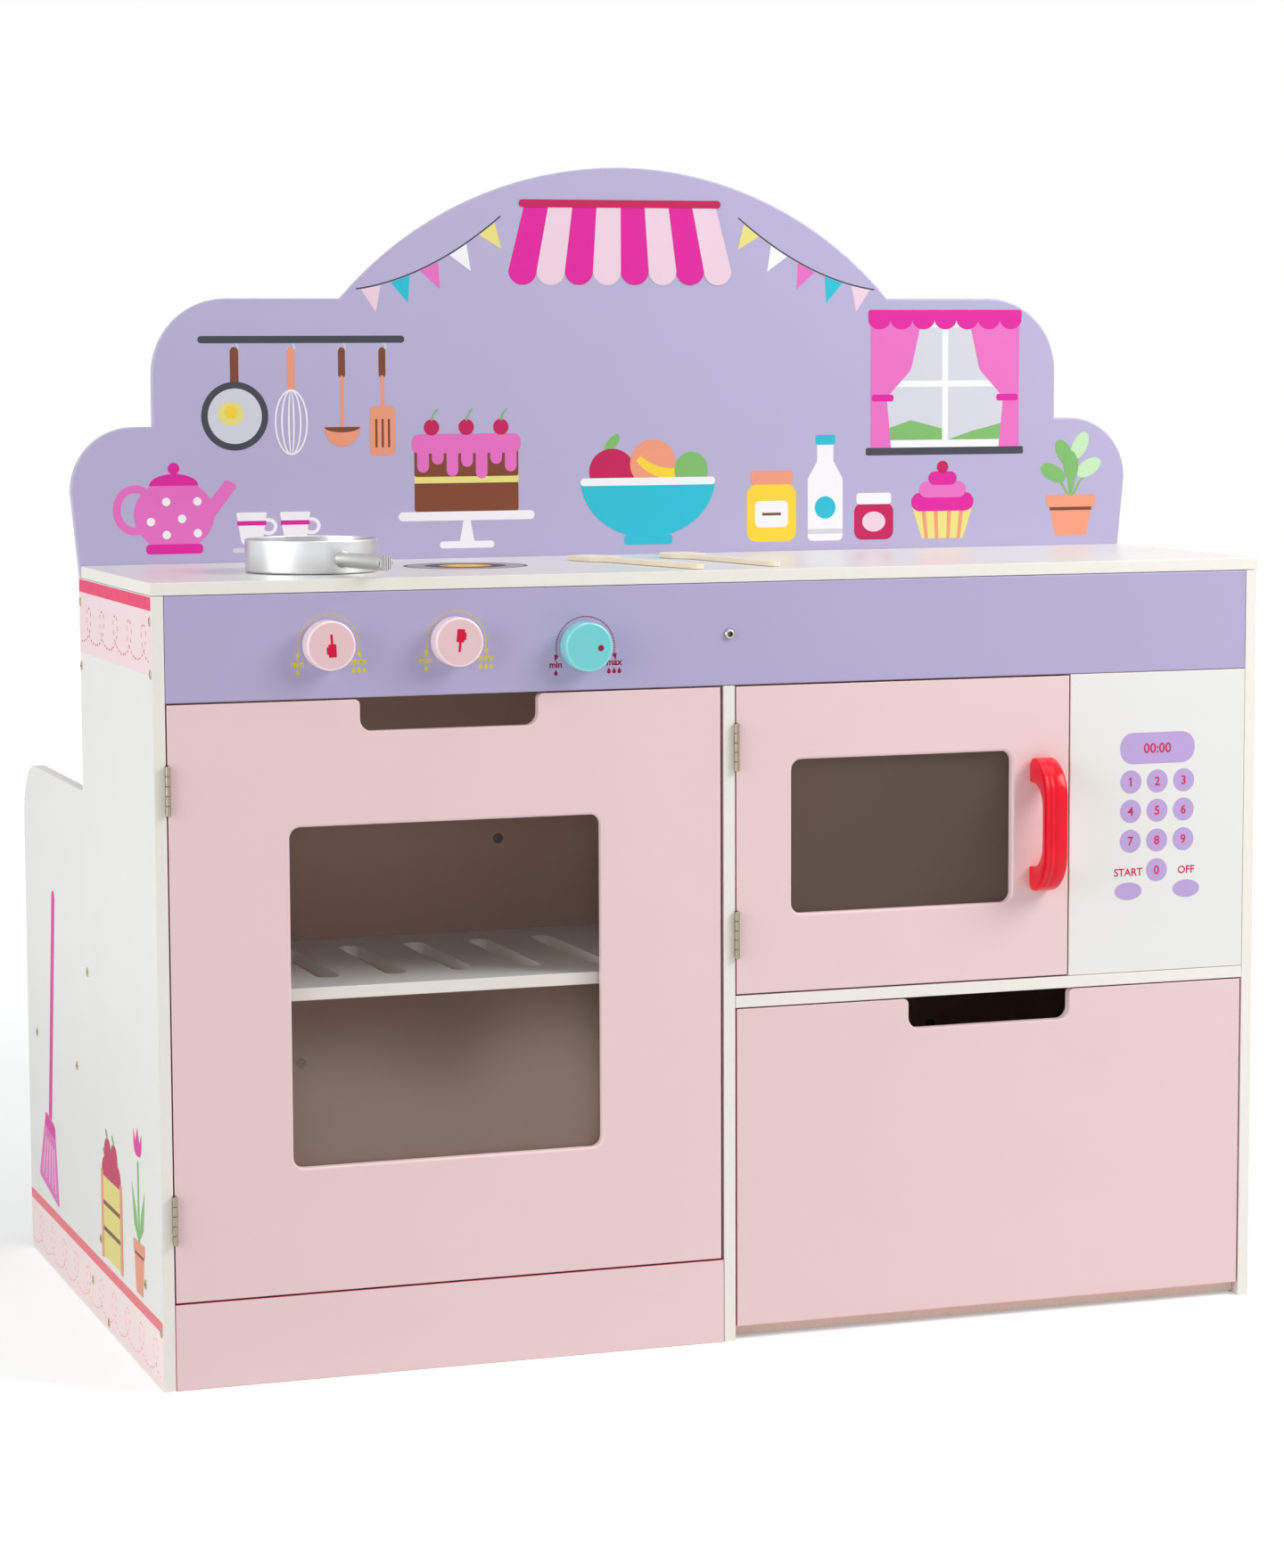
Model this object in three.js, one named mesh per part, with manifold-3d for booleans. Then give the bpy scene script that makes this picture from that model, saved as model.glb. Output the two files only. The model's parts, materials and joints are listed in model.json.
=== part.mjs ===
// A wooden toy kitchen in millimetres, +Z up: oven, microwave and storage drawer under a white
// worktop, with a domed backboard, and a low seat board between the side panels at the back.
// The origin is on the floor, under the middle of the whole object. The front faces -Y.

import * as THREE from "three";
import { mergeVertices } from "three/addons/utils/BufferGeometryUtils.js";
import Module from "manifold-3d";

const wasm = await Module();
wasm.setup();

// Boards, and the gaps between pieces
const board = 9;
const seam = 0.3;
const slip = 0.3;
const door_gap = 1.2;
const overrun = 1;

// Cabinet, measured from the front plane and the floor
const cabinet_width = 860;
const worktop_depth = 243;
const worktop_height = 575;
const fascia_height = 75.2;
const oven_bay_width = 415.4;
const plinth_height = 62.5;
const plinth_lap = 1;
const oven_space_under_rack = 203;
const microwave_floor_top = 260.1;
const keypad_width = 146.7;
const base_board_lift = 2.3;

// Side panels, which run on behind the cabinet and carry the seat
const side_depth = 500;
const side_rear_height = 404;
const side_shoulder_radius = 50;
const side_heel_radius = 10;
const side_step_radius = 5;
const seat_top = 190;
const seat_inset = 10;

// Backboard outline, above the worktop and out from the middle
const backboard_tab = 95;
const backboard_flare = 6;
const flare_height = 55;
const lower_lobe_height = 103.5;
const lower_lobe_radius = 50;
const lower_ledge = 13.2;
const upper_lobe_rise = 96.3;
const upper_lobe_radius = 58;
const dome_half_width = 225.5;
const dome_rise = 101.2;

// Oven door
const hinge_gap = 1.1;
const oven_latch_gap = 2.4;
const oven_left_stile = 87;
const oven_right_stile = 92.3;
const oven_top_rail = 89.6;
const oven_bottom_rail = 90.8;
const window_radius = 8;
const pane_thickness = 2;
const rebate_width = 6;

// Finger notches in the oven door and the drawer front
const notch_width = 133;
const notch_depth = 23;
const notch_radius = 9;
const notch_lip_radius = 4;
const drawer_notch_shift = -3.5;

// Microwave door and its bow handle
const microwave_left_stile = 43.5;
const microwave_right_stile = 46.5;
const microwave_top_rail = 55.3;
const microwave_bottom_rail = 57.7;
const handle_length = 102;
const handle_width = 18;
const handle_reach = 31;
const handle_grip = 8.8;
const handle_foot = 19;
const handle_outer_radius = 30;
const handle_inner_radius = 14;
const handle_edge = 2.5;
const handle_lift = 2.7;

// Butt hinges
const hinge_height = 35;
const hinge_leaf = 0.8;
const hinge_barrel_radius = 2;
const hinge_pin_radius = 0.9;
const hinge_pin_play = 0.2;
const hinge_knuckles = 5;
const frame_leaf_width = 14;
const door_leaf_margin = 2;
const oven_hinge_inset = 42.4;
const microwave_hinge_inset = 27;

// Oven rack
const rack_setback = 12;
const rack_slots = 6;
const rack_slot_width = 16.5;
const rack_slot_pitch = 51.3;
const rack_slot_length = 145;

// Drawer
const drawer_side_gap = 1.4;
const drawer_top_gap = 1;
const drawer_foot_gap = 8.7;
const drawer_rear_gap = 11;
const drawer_inset = 6;
const drawer_side_height = 140;
const drawer_bottom_thickness = 6;
const drawer_bottom_lift = 4;
const glide_width = 14;
const glide_thickness = 3;
const glide_end_gap = 8;

// Knobs: the places across are measured from the left side of the cabinet, and the rise from
// the lower edge of the fascia. The right-hand knob sits a little lower.
const knob_diameter = 35.5;
const knob_depth = 14.5;
const knob_edge_radius = 1.6;
const knob_bore_depth = 9;
const knob_left_x = 125.5;
const knob_middle_x = 219.5;
const knob_right_x = 316.5;
const knob_rise = 38.3;
const knob_right_drop = 6.2;

// Screws and bolts
const screw_shank_radius = 1.8;
const screw_head_radius = 4;
const screw_head = 2;
const screw_tip = 1.5;
const screw_play = 0.4;
const fascia_screw_length = 32;
const seat_bolt_length = 36;
const seat_bolt_margin = 39;
const seat_bolt_spacing = 117;

// Magnetic catches and the steel plates that they hold
const catch_width = 14;
const catch_depth = 18;
const catch_height = 30;
const strike_width = 10;
const strike_height = 24;
const strike_thickness = 1;
const oven_catch_drop = 30;
const low_catch_height = 12;
const low_strike_height = 9;

// Saucepan and wooden utensils on the worktop. Angles are in degrees, anticlockwise from above.
const pan_radius = 48.5;
const pan_height = 24;
const pan_wall = 1.5;
const pan_x = 141.4;
const pan_y = 100;
const pan_angle = 13;
const pan_handle_radius = 5.5;
const pan_handle_length = 65;
const pan_handle_height = 10.5;
const utensil_thickness = 3.5;
const utensil_length = 168;
const utensil_stem = 9;
const utensil_stem_radius = 3;
const spatula_head_width = 26;
const spatula_head_length = 46;
const spatula_head_radius = 5;
const spatula_x = 412;
const spatula_y = 15;
const spatula_angle = 13.2;
const spoon_head_width = 30;
const spoon_head_length = 42;
const spoon_head_radius = 14;
const spoon_x = 477;
const spoon_y = 28;
const spoon_angle = 8.4;

// Steps in each arc, and sides of each round piece
const arc_steps = 4;
const outline_steps = 8;
const turned_sides = 48;
const fastener_sides = 12;

// Places that follow from the sizes, in the cabinet's own frame: x from the outer face of the
// left side panel, y back from the front plane, z up from the floor
const under_top = worktop_height - board;
const frame_top = under_top - seam;
const fascia_bottom = frame_top - fascia_height;
const inner_left = board;
const inner_right = cabinet_width - board;
const behind_front = board + seam;
const back_face = worktop_depth + seam;
const back_rear = back_face + board;
const divider_left = inner_left + oven_bay_width;
const divider_right = divider_left + board;
const oven_floor_bottom = plinth_height - plinth_lap;
const oven_floor_top = oven_floor_bottom + board;
const rack_bottom = oven_floor_top + oven_space_under_rack;
const microwave_floor_bottom = microwave_floor_top - board;
const keypad_left = inner_right - seam - keypad_width;
const base_board_top = base_board_lift + board;
const backboard_bottom = worktop_height - backboard_tab;
const middle = cabinet_width / 2;
const screw_hole_radius = screw_shank_radius + screw_play;

const oven_door_x = inner_left + hinge_gap;
const oven_door_z = plinth_height + door_gap;
const oven_door_width = divider_left - oven_latch_gap - oven_door_x;
const oven_door_height = fascia_bottom - door_gap - oven_door_z;
const microwave_door_x = divider_right + hinge_gap;
const microwave_door_z = microwave_floor_top + door_gap;
const microwave_door_width = keypad_left - door_gap - microwave_door_x;
const microwave_door_height = fascia_bottom - door_gap - microwave_door_z;
const hinge_forward = hinge_barrel_radius + slip;
const door_leaf_width = board - door_leaf_margin;
const handle_rise = (microwave_door_height - handle_length) / 2 + handle_lift;
const handle_x = microwave_door_width - microwave_right_stile / 2 - handle_width / 2;

const glide_top = base_board_top + seam + glide_thickness;
const drawer_x = divider_right + drawer_side_gap;
const drawer_z = base_board_lift + drawer_foot_gap;
const drawer_width = inner_right - drawer_side_gap - drawer_x;
const drawer_front_height = microwave_floor_bottom - drawer_top_gap - drawer_z;
const drawer_box_z = glide_top + slip - drawer_z;
const drawer_box_depth = back_face - drawer_rear_gap - behind_front;

// Paints and other finishes
const paint = (color, roughness = 0.5, metalness = 0) =>
  new THREE.MeshStandardMaterial({ color, roughness, metalness });
const white_paint = paint("#eceae4");
const pink_paint = paint("#ecc4ca");
const lavender_paint = paint("#b4a9d6");
const backboard_paint = paint("#c3bade");
const bare_board = paint("#c9ab86", 0.8);
const red_plastic = paint("#e8152f", 0.25);
const pink_plastic = paint("#f6cdd6", 0.3);
const teal_plastic = paint("#6fcbd2", 0.3);
const white_plastic = paint("#f0f0ee", 0.4);
const clear_acrylic = new THREE.MeshStandardMaterial({
  color: "#b9b2ae",
  roughness: 0.08,
  transparent: true,
  opacity: 0.35,
});
const nickel = paint("#b3aa9b", 0.35, 0.9);
const steel = paint("#8e8b86", 0.4, 0.9);
const aluminium = paint("#c9cbcc", 0.3, 0.9);
const beech = paint("#e9d3a8", 0.6);

// Solids and booleans

// The closed solid of a geometry, with its shared corners merged.
function solidOf(geometry) {
  const bare = new THREE.BufferGeometry();
  bare.setAttribute("position", geometry.getAttribute("position"));
  bare.setIndex(geometry.getIndex());
  const merged = mergeVertices(bare);
  return new wasm.Manifold(
    new wasm.Mesh({
      numProp: 3,
      vertProperties: new Float32Array(merged.getAttribute("position").array),
      triVerts: new Uint32Array(merged.getIndex().array),
    }),
  );
}

// The geometry of a solid.
function geometryOf(solid) {
  const mesh = solid.getMesh();
  const places = new Float32Array(mesh.numVert * 3);
  for (let i = 0; i < mesh.numVert; i++) {
    const start = i * mesh.numProp;
    places.set(mesh.vertProperties.subarray(start, start + 3), i * 3);
  }
  const geometry = new THREE.BufferGeometry();
  geometry.setAttribute("position", new THREE.BufferAttribute(places, 3));
  geometry.setIndex(new THREE.BufferAttribute(new Uint32Array(mesh.triVerts), 1));
  geometry.computeVertexNormals();
  return geometry;
}

// A geometry with other geometries cut out of it.
function cutFrom(geometry, cutters) {
  let solid = solidOf(geometry);
  for (const cutter of cutters) solid = solid.subtract(solidOf(cutter));
  return geometryOf(solid);
}

// Several geometries joined into one.
function joined(geometries) {
  const [first, ...others] = geometries.map(solidOf);
  return geometryOf(others.reduce((whole, next) => whole.add(next), first));
}

// Shapes

// A block that spans [low, high] along each axis.
function block([x0, x1], [y0, y1], [z0, z1]) {
  const geometry = new THREE.BoxGeometry(x1 - x0, y1 - y0, z1 - z0);
  return geometry.translate((x0 + x1) / 2, (y0 + y1) / 2, (z0 + z1) / 2);
}

// A round rod along one axis, with its middle line through the point given and its ends at
// [low, high] on that axis.
function rod(axis, radius, [x, y, z], [low, high], sides = fastener_sides) {
  const geometry = new THREE.CylinderGeometry(radius, radius, high - low, sides);
  const mid = (low + high) / 2;
  if (axis === "x") return geometry.rotateZ(-Math.PI / 2).translate(mid, y, z);
  if (axis === "y") return geometry.translate(x, mid, z);
  return geometry.rotateX(Math.PI / 2).translate(x, y, mid);
}

// Draws a closed outline of [u, v, radius] corners onto a path, each corner as a round arc.
function drawOutline(path, corners) {
  corners.forEach(([u, v, wanted = 0], i) => {
    const corner = new THREE.Vector2(u, v);
    const before = new THREE.Vector2(...corners.at(i - 1).slice(0, 2)).sub(corner);
    const after = new THREE.Vector2(...corners[(i + 1) % corners.length].slice(0, 2)).sub(corner);
    const half_angle = Math.acos(before.clone().normalize().dot(after.clone().normalize())) / 2;
    const room = Math.min(
      before.length() / (corners.at(i - 1)[2] ? 2 : 1),
      after.length() / (corners[(i + 1) % corners.length][2] ? 2 : 1),
    );
    const radius = Math.min(wanted, room * Math.tan(half_angle));
    if (radius <= 0) {
      if (i === 0) path.moveTo(u, v);
      else path.lineTo(u, v);
      return;
    }
    const start = corner.clone().addScaledVector(before.normalize(), radius / Math.tan(half_angle));
    const end = corner.clone().addScaledVector(after.normalize(), radius / Math.tan(half_angle));
    const inward = before.clone().add(after).normalize();
    const centre = corner.clone().addScaledVector(inward, radius / Math.sin(half_angle));
    const clockwise = before.cross(after) > 0;
    const from = Math.atan2(start.y - centre.y, start.x - centre.x);
    const to = Math.atan2(end.y - centre.y, end.x - centre.x);
    if (i === 0) path.moveTo(start.x, start.y);
    else path.lineTo(start.x, start.y);
    path.absarc(centre.x, centre.y, radius, from, to, clockwise);
  });
  path.closePath();
  return path;
}

const outline = (corners) => drawOutline(new THREE.Shape(), corners);
const hole = (corners) => drawOutline(new THREE.Path(), corners);

// The corners of a rectangle from [left, bottom] to [right, top], all of one radius.
function rectangle([u0, v0], [u1, v1], radius = 0) {
  return [
    [u0, v0, radius],
    [u1, v0, radius],
    [u1, v1, radius],
    [u0, v1, radius],
  ];
}

// Boards: an outline given a thickness, lying as front, side or flat board.

function extruded(shape, thickness, steps) {
  return new THREE.ExtrudeGeometry(shape, {
    depth: thickness,
    bevelEnabled: false,
    curveSegments: steps,
  });
}

// An outline in x and z, from y = face back.
function frontBoard(shape, face = 0, thickness = board, steps = arc_steps) {
  const geometry = extruded(shape, thickness, steps);
  return geometry.rotateX(Math.PI / 2).translate(0, face + thickness, 0);
}

// An outline in y and z, from x = face to the right.
function sideBoard(shape, face = 0, thickness = board, steps = arc_steps) {
  const geometry = extruded(shape, thickness, steps);
  return geometry.rotateX(Math.PI / 2).rotateZ(Math.PI / 2).translate(face, 0, 0);
}

// An outline in x and y, from z = underside up.
function flatBoard(shape, underside = 0, thickness = board, steps = arc_steps) {
  return extruded(shape, thickness, steps).translate(0, 0, underside);
}

// A screw along +Y: its head ends at y = 0, where its shank starts.
function screw(length) {
  const profile = [
    [0, -screw_head],
    [screw_head_radius, -screw_head],
    [screw_head_radius, 0],
    [screw_shank_radius, 0],
    [screw_shank_radius, length - screw_tip],
    [0, length],
  ];
  return new THREE.LatheGeometry(
    profile.map(([radius, height]) => new THREE.Vector2(radius, height)),
    fastener_sides,
  );
}

// Groups and pieces

const kitchen = new THREE.Group();
const cabinet = new THREE.Group();
cabinet.position.set(-middle, (handle_reach - side_depth) / 2, 0);
kitchen.add(cabinet);

// Adds a named piece to a group, at a place in the group's frame.
function addPiece(group, name, geometry, material, [x, y, z] = [0, 0, 0]) {
  const mesh = new THREE.Mesh(geometry, material);
  mesh.name = name;
  mesh.position.set(x, y, z);
  group.add(mesh);
  return mesh;
}

// A group inside the cabinet's frame, turned anticlockwise seen from above.
function groupAt([x, y, z], angle = 0) {
  const group = new THREE.Group();
  group.position.set(x, y, z);
  group.rotation.z = THREE.MathUtils.degToRad(angle);
  cabinet.add(group);
  return group;
}

// The recess for a hinge's leaf in the face of a board at x = face. Into is 1 where the board
// lies to the right of the face and -1 where it lies to the left.
function hingeRecess(face, axis_x, into, leaf_width, z) {
  const inner = axis_x + into * (slip / 2 + hinge_leaf + slip);
  const outer = face - into * overrun;
  return block(
    [Math.min(inner, outer), Math.max(inner, outer)],
    [-overrun, leaf_width + slip],
    [z - slip, z + hinge_height + slip],
  );
}

// The lower ends of the two hinges of a door that spans from low to high.
function hingeHeights(low, height, inset) {
  return { upper: low + height - inset - hinge_height, lower: low + inset };
}

const oven_hinges = hingeHeights(oven_door_z, oven_door_height, oven_hinge_inset);
const microwave_hinges = hingeHeights(
  microwave_door_z,
  microwave_door_height,
  microwave_hinge_inset,
);
const oven_hinge_x = oven_door_x - hinge_gap / 2;
const microwave_hinge_x = microwave_door_x - hinge_gap / 2;

// Carcass

function addSidePanels() {
  const side = outline([
    [0, 0],
    [side_depth, 0, side_heel_radius],
    [side_depth, side_rear_height, side_shoulder_radius],
    [back_rear, side_rear_height, side_step_radius],
    [back_rear, frame_top],
    [0, frame_top],
  ]);
  const recesses = Object.values(oven_hinges).map((z) =>
    hingeRecess(inner_left, oven_hinge_x, -1, frame_leaf_width, z),
  );
  const left_board = sideBoard(side, 0, board, outline_steps);
  const right_board = sideBoard(side, inner_right, board, outline_steps);
  addPiece(cabinet, "side_panel_left", cutFrom(left_board, recesses), white_paint);
  addPiece(cabinet, "side_panel_right", right_board, white_paint);
}

function addWorktop() {
  const top = block([0, cabinet_width], [0, worktop_depth], [under_top, worktop_height]);
  addPiece(cabinet, "worktop", top, white_paint);
}

// The backboard stands on the rear of the side panels, with a tab down between them. Its outline
// steps in twice on each side and ends in a round dome.
function addBackboard() {
  const half = middle;
  const wide = half + backboard_flare;
  const lower_top = worktop_height + lower_lobe_height;
  const upper_wide = wide - lower_lobe_radius - lower_ledge;
  const upper_top = lower_top + upper_lobe_rise;
  const tab_half = inner_right - seam - middle;
  const right_side = [
    [tab_half, backboard_bottom],
    [tab_half, under_top],
    [half, under_top],
    [wide, worktop_height + flare_height],
    [wide, lower_top, lower_lobe_radius],
    [upper_wide, lower_top],
    [upper_wide, upper_top, upper_lobe_radius],
    [dome_half_width, upper_top],
  ];
  const shape = new THREE.Shape();
  const left_side = right_side.map(([u, v, radius = 0]) => [-u, v, radius]).reverse();
  drawOutline(shape, [...right_side, ...left_side]);
  const body = frontBoard(shape, 0, board, outline_steps);

  // The dome is the cap of a circle through its two feet and its crown.
  const radius = (dome_half_width ** 2 + dome_rise ** 2) / (2 * dome_rise);
  const centre = upper_top + dome_rise - radius;
  const foot = upper_top - overrun;
  const reach = Math.sqrt(radius ** 2 - (foot - centre) ** 2);
  const half_angle = Math.asin(reach / radius);
  const cap = new THREE.Shape();
  cap.moveTo(-reach, foot);
  cap.lineTo(reach, foot);
  cap.absarc(0, centre, radius, Math.PI / 2 - half_angle, Math.PI / 2 + half_angle, false);
  const dome = frontBoard(cap, 0, board, 2 * outline_steps);
  addPiece(cabinet, "backboard", joined([body, dome]), backboard_paint, [middle, back_face, 0]);
}

// Holes through the lower back board for the bolts that hold the seat board.
const seat_bolt_margins = [seat_bolt_margin, seat_bolt_margin + seat_bolt_spacing];
const seat_bolt_places = [
  ...seat_bolt_margins.map((margin) => inner_left + margin),
  ...seat_bolt_margins.map((margin) => inner_right - margin).reverse(),
];
const seat_bolt_z = seat_top - board / 2;

function addBackAndSeat() {
  const width = [inner_left + seam, inner_right - seam];
  const back = block(width, [back_face, back_rear], [base_board_lift, backboard_bottom - seam]);
  const seat = block(
    width,
    [back_rear + seam, side_depth - seat_inset],
    [seat_top - board, seat_top],
  );
  const bores = seat_bolt_places.map((x) =>
    rod(
      "y",
      screw_hole_radius,
      [x, 0, seat_bolt_z],
      [back_face - overrun, back_face + seat_bolt_length + screw_play],
    ),
  );
  addPiece(cabinet, "lower_back_board", cutFrom(back, bores), white_paint);
  addPiece(cabinet, "seat_board", cutFrom(seat, bores), white_paint);
  seat_bolt_places.forEach((x, i) => {
    const place = [x, back_face - seam, seat_bolt_z];
    addPiece(cabinet, "seat_bolt_" + (i + 1), screw(seat_bolt_length), steel, place);
  });
}

// The fascia carries the knobs and is screwed to the front of the divider.
const knob_places = {
  knob_left: { x: knob_left_x, z: fascia_bottom + knob_rise },
  knob_middle: { x: knob_middle_x, z: fascia_bottom + knob_rise },
  knob_right: { x: knob_right_x, z: fascia_bottom + knob_rise - knob_right_drop },
};
const fascia_screw_x = (divider_left + divider_right) / 2;
const fascia_screw_z = fascia_bottom + fascia_height / 2;

function addFascia() {
  const shape = outline(
    rectangle([inner_left + seam, fascia_bottom], [inner_right - seam, frame_top]),
  );
  const holes = [...Object.values(knob_places), { x: fascia_screw_x, z: fascia_screw_z }];
  for (const { x, z } of holes) {
    const round = new THREE.Path();
    round.absarc(x, z, screw_hole_radius, 0, 2 * Math.PI, true);
    shape.holes.push(round);
  }
  addPiece(cabinet, "control_fascia", frontBoard(shape, 0, board, fastener_sides / 2), lavender_paint);
  const place = [fascia_screw_x, -seam, fascia_screw_z];
  addPiece(cabinet, "fascia_screw", screw(fascia_screw_length), steel, place);
}

// The divider's front edge shows from the fascia to the floor. It is cut back behind the fascia
// and stands on the base board.
function addDivider() {
  const shape = outline([
    [0, 0],
    [board, 0],
    [board, base_board_top + seam],
    [worktop_depth, base_board_top + seam],
    [worktop_depth, frame_top],
    [behind_front, frame_top],
    [behind_front, fascia_bottom - seam],
    [0, fascia_bottom - seam],
  ]);
  const recesses = Object.values(microwave_hinges).map((z) =>
    hingeRecess(divider_right, microwave_hinge_x, -1, frame_leaf_width, z),
  );
  const bore = rod(
    "y",
    screw_hole_radius,
    [fascia_screw_x, 0, fascia_screw_z],
    [-overrun, fascia_screw_length + screw_play],
  );
  const divider = cutFrom(sideBoard(shape, divider_left), [...recesses, bore]);
  addPiece(cabinet, "divider", divider, white_paint);
}

function addFloors() {
  const left_bay = [inner_left + seam, divider_left - seam];
  const right_bay = [divider_right + seam, inner_right - seam];
  const whole = [inner_left + seam, inner_right - seam];
  const depth = [behind_front, worktop_depth];
  addPiece(
    cabinet,
    "base_board",
    block(whole, depth, [base_board_lift, base_board_top]),
    bare_board,
  );
  addPiece(cabinet, "plinth", block(left_bay, [0, board], [0, plinth_height]), pink_paint);
  addPiece(
    cabinet,
    "oven_floor",
    block(left_bay, depth, [oven_floor_bottom, oven_floor_top]),
    white_paint,
  );
  addPiece(
    cabinet,
    "microwave_floor",
    block(right_bay, [0, worktop_depth], [microwave_floor_bottom, microwave_floor_top]),
    white_paint,
  );
}

// A shelf with a row of slots, each with round ends, that run front to back.
function addOvenRack() {
  const [low, high] = [inner_left + seam, divider_left - seam];
  const shape = outline(rectangle([low, rack_setback], [high, worktop_depth]));
  const slot_middle = (rack_setback + worktop_depth) / 2;
  const slot_front = slot_middle - rack_slot_length / 2;
  const first = (low + high) / 2 - (rack_slot_pitch * (rack_slots - 1)) / 2;
  for (let i = 0; i < rack_slots; i++) {
    const x = first + i * rack_slot_pitch;
    const near = [x - rack_slot_width / 2, slot_front];
    const far = [x + rack_slot_width / 2, slot_front + rack_slot_length];
    shape.holes.push(hole(rectangle(near, far, rack_slot_width / 2)));
  }
  addPiece(cabinet, "oven_rack", flatBoard(shape, rack_bottom), white_paint);
}

function addKeypadPanel() {
  const panel = block(
    [keypad_left, inner_right - seam],
    [0, board],
    [microwave_floor_top + seam, fascia_bottom - seam],
  );
  addPiece(cabinet, "keypad_panel", panel, white_paint);
}

// Doors

// The four corners of a finger notch that opens at the top of a board, from right to left.
function notchCorners(centre, top) {
  const low = top - notch_depth;
  const [near, far] = [centre - notch_width / 2, centre + notch_width / 2];
  return [
    [far, top, notch_lip_radius],
    [far, low, notch_radius],
    [near, low, notch_radius],
    [near, top, notch_lip_radius],
  ];
}

// A door board with a glazed window, in its own frame. The pane lies in a rebate behind.
function glazedDoor(corners, window_low, window_high) {
  const rebate_low = window_low.map((value) => value - rebate_width);
  const rebate_high = window_high.map((value) => value + rebate_width);
  const rebate_depth = pane_thickness + seam;
  const front = outline(corners);
  front.holes.push(hole(rectangle(window_low, window_high, window_radius)));
  const rear = outline(corners);
  rear.holes.push(hole(rectangle(rebate_low, rebate_high, window_radius)));
  const layers = [
    frontBoard(front, 0, board - rebate_depth),
    frontBoard(rear, board - rebate_depth, rebate_depth),
  ];
  const pane = outline(
    rectangle(
      rebate_low.map((value) => value + seam),
      rebate_high.map((value) => value - seam),
      window_radius,
    ),
  );
  return { body: joined(layers), pane: frontBoard(pane, board - pane_thickness, pane_thickness) };
}

// A butt hinge of two leaves with interlocking knuckles on a pin. Its axis is the group's z axis.
function addHinge(name, x, z) {
  const group = groupAt([x, -hinge_forward, z]);
  const pitch = hinge_height / hinge_knuckles;
  const bore_radius = hinge_pin_radius + hinge_pin_play;
  const bore = rod("z", bore_radius, [0, 0, 0], [-overrun, hinge_height + overrun]);

  const leaf = (side, width, parity) => {
    const near = (side * slip) / 2;
    const far = near + side * hinge_leaf;
    const plate = block(
      [Math.min(near, far), Math.max(near, far)],
      [0, hinge_forward + width],
      [0, hinge_height],
    );
    const own = [];
    const gaps = [];
    for (let i = 0; i < hinge_knuckles; i++) {
      if (i % 2 === parity) {
        const span = [i * pitch + slip / 2, (i + 1) * pitch - slip / 2];
        own.push(rod("z", hinge_barrel_radius, [0, 0, 0], span));
      } else {
        const span = [i * pitch - slip / 2, (i + 1) * pitch + slip / 2];
        gaps.push(rod("z", hinge_barrel_radius + slip, [0, 0, 0], span));
      }
    }
    return cutFrom(joined([cutFrom(plate, gaps), ...own]), [bore]);
  };

  addPiece(group, name + "_frame_leaf", leaf(-1, frame_leaf_width, 0), nickel);
  addPiece(group, name + "_door_leaf", leaf(1, door_leaf_width, 1), nickel);
  const pin = rod("z", hinge_pin_radius, [0, 0, 0], [0, hinge_height]);
  addPiece(group, name + "_pin", pin, nickel);
}

function addOvenDoor() {
  const [width, height] = [oven_door_width, oven_door_height];
  const door = groupAt([oven_door_x, 0, oven_door_z]);
  const corners = [
    [0, 0],
    [width, 0],
    [width, height],
    ...notchCorners(width / 2, height),
    [0, height],
  ];
  const { body, pane } = glazedDoor(
    corners,
    [oven_left_stile, oven_bottom_rail],
    [width - oven_right_stile, height - oven_top_rail],
  );
  const recesses = Object.values(oven_hinges).map((z) =>
    hingeRecess(0, oven_hinge_x - oven_door_x, 1, door_leaf_width, z - oven_door_z),
  );
  addPiece(door, "oven_door", cutFrom(body, recesses), pink_paint);
  addPiece(door, "oven_window", pane, clear_acrylic);
  addHinge("oven_hinge_upper", oven_hinge_x, oven_hinges.upper);
  addHinge("oven_hinge_lower", oven_hinge_x, oven_hinges.lower);

  // The catch is fixed to the divider, behind the plate at the door's free edge.
  const strike_top = height - notch_depth - oven_catch_drop;
  const strike_right = width - seam;
  const strike = block(
    [strike_right - strike_width, strike_right],
    [behind_front, behind_front + strike_thickness],
    [strike_top - strike_height, strike_top],
  );
  addPiece(door, "oven_strike_plate", strike, steel);
  const magnet_front = behind_front + strike_thickness + slip;
  const catch_z = oven_door_z + strike_top - strike_height / 2;
  const magnet = block(
    [divider_left - seam - catch_width, divider_left - seam],
    [magnet_front, magnet_front + catch_depth],
    [catch_z - catch_height / 2, catch_z + catch_height / 2],
  );
  addPiece(cabinet, "oven_catch", magnet, white_plastic);
}

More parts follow.
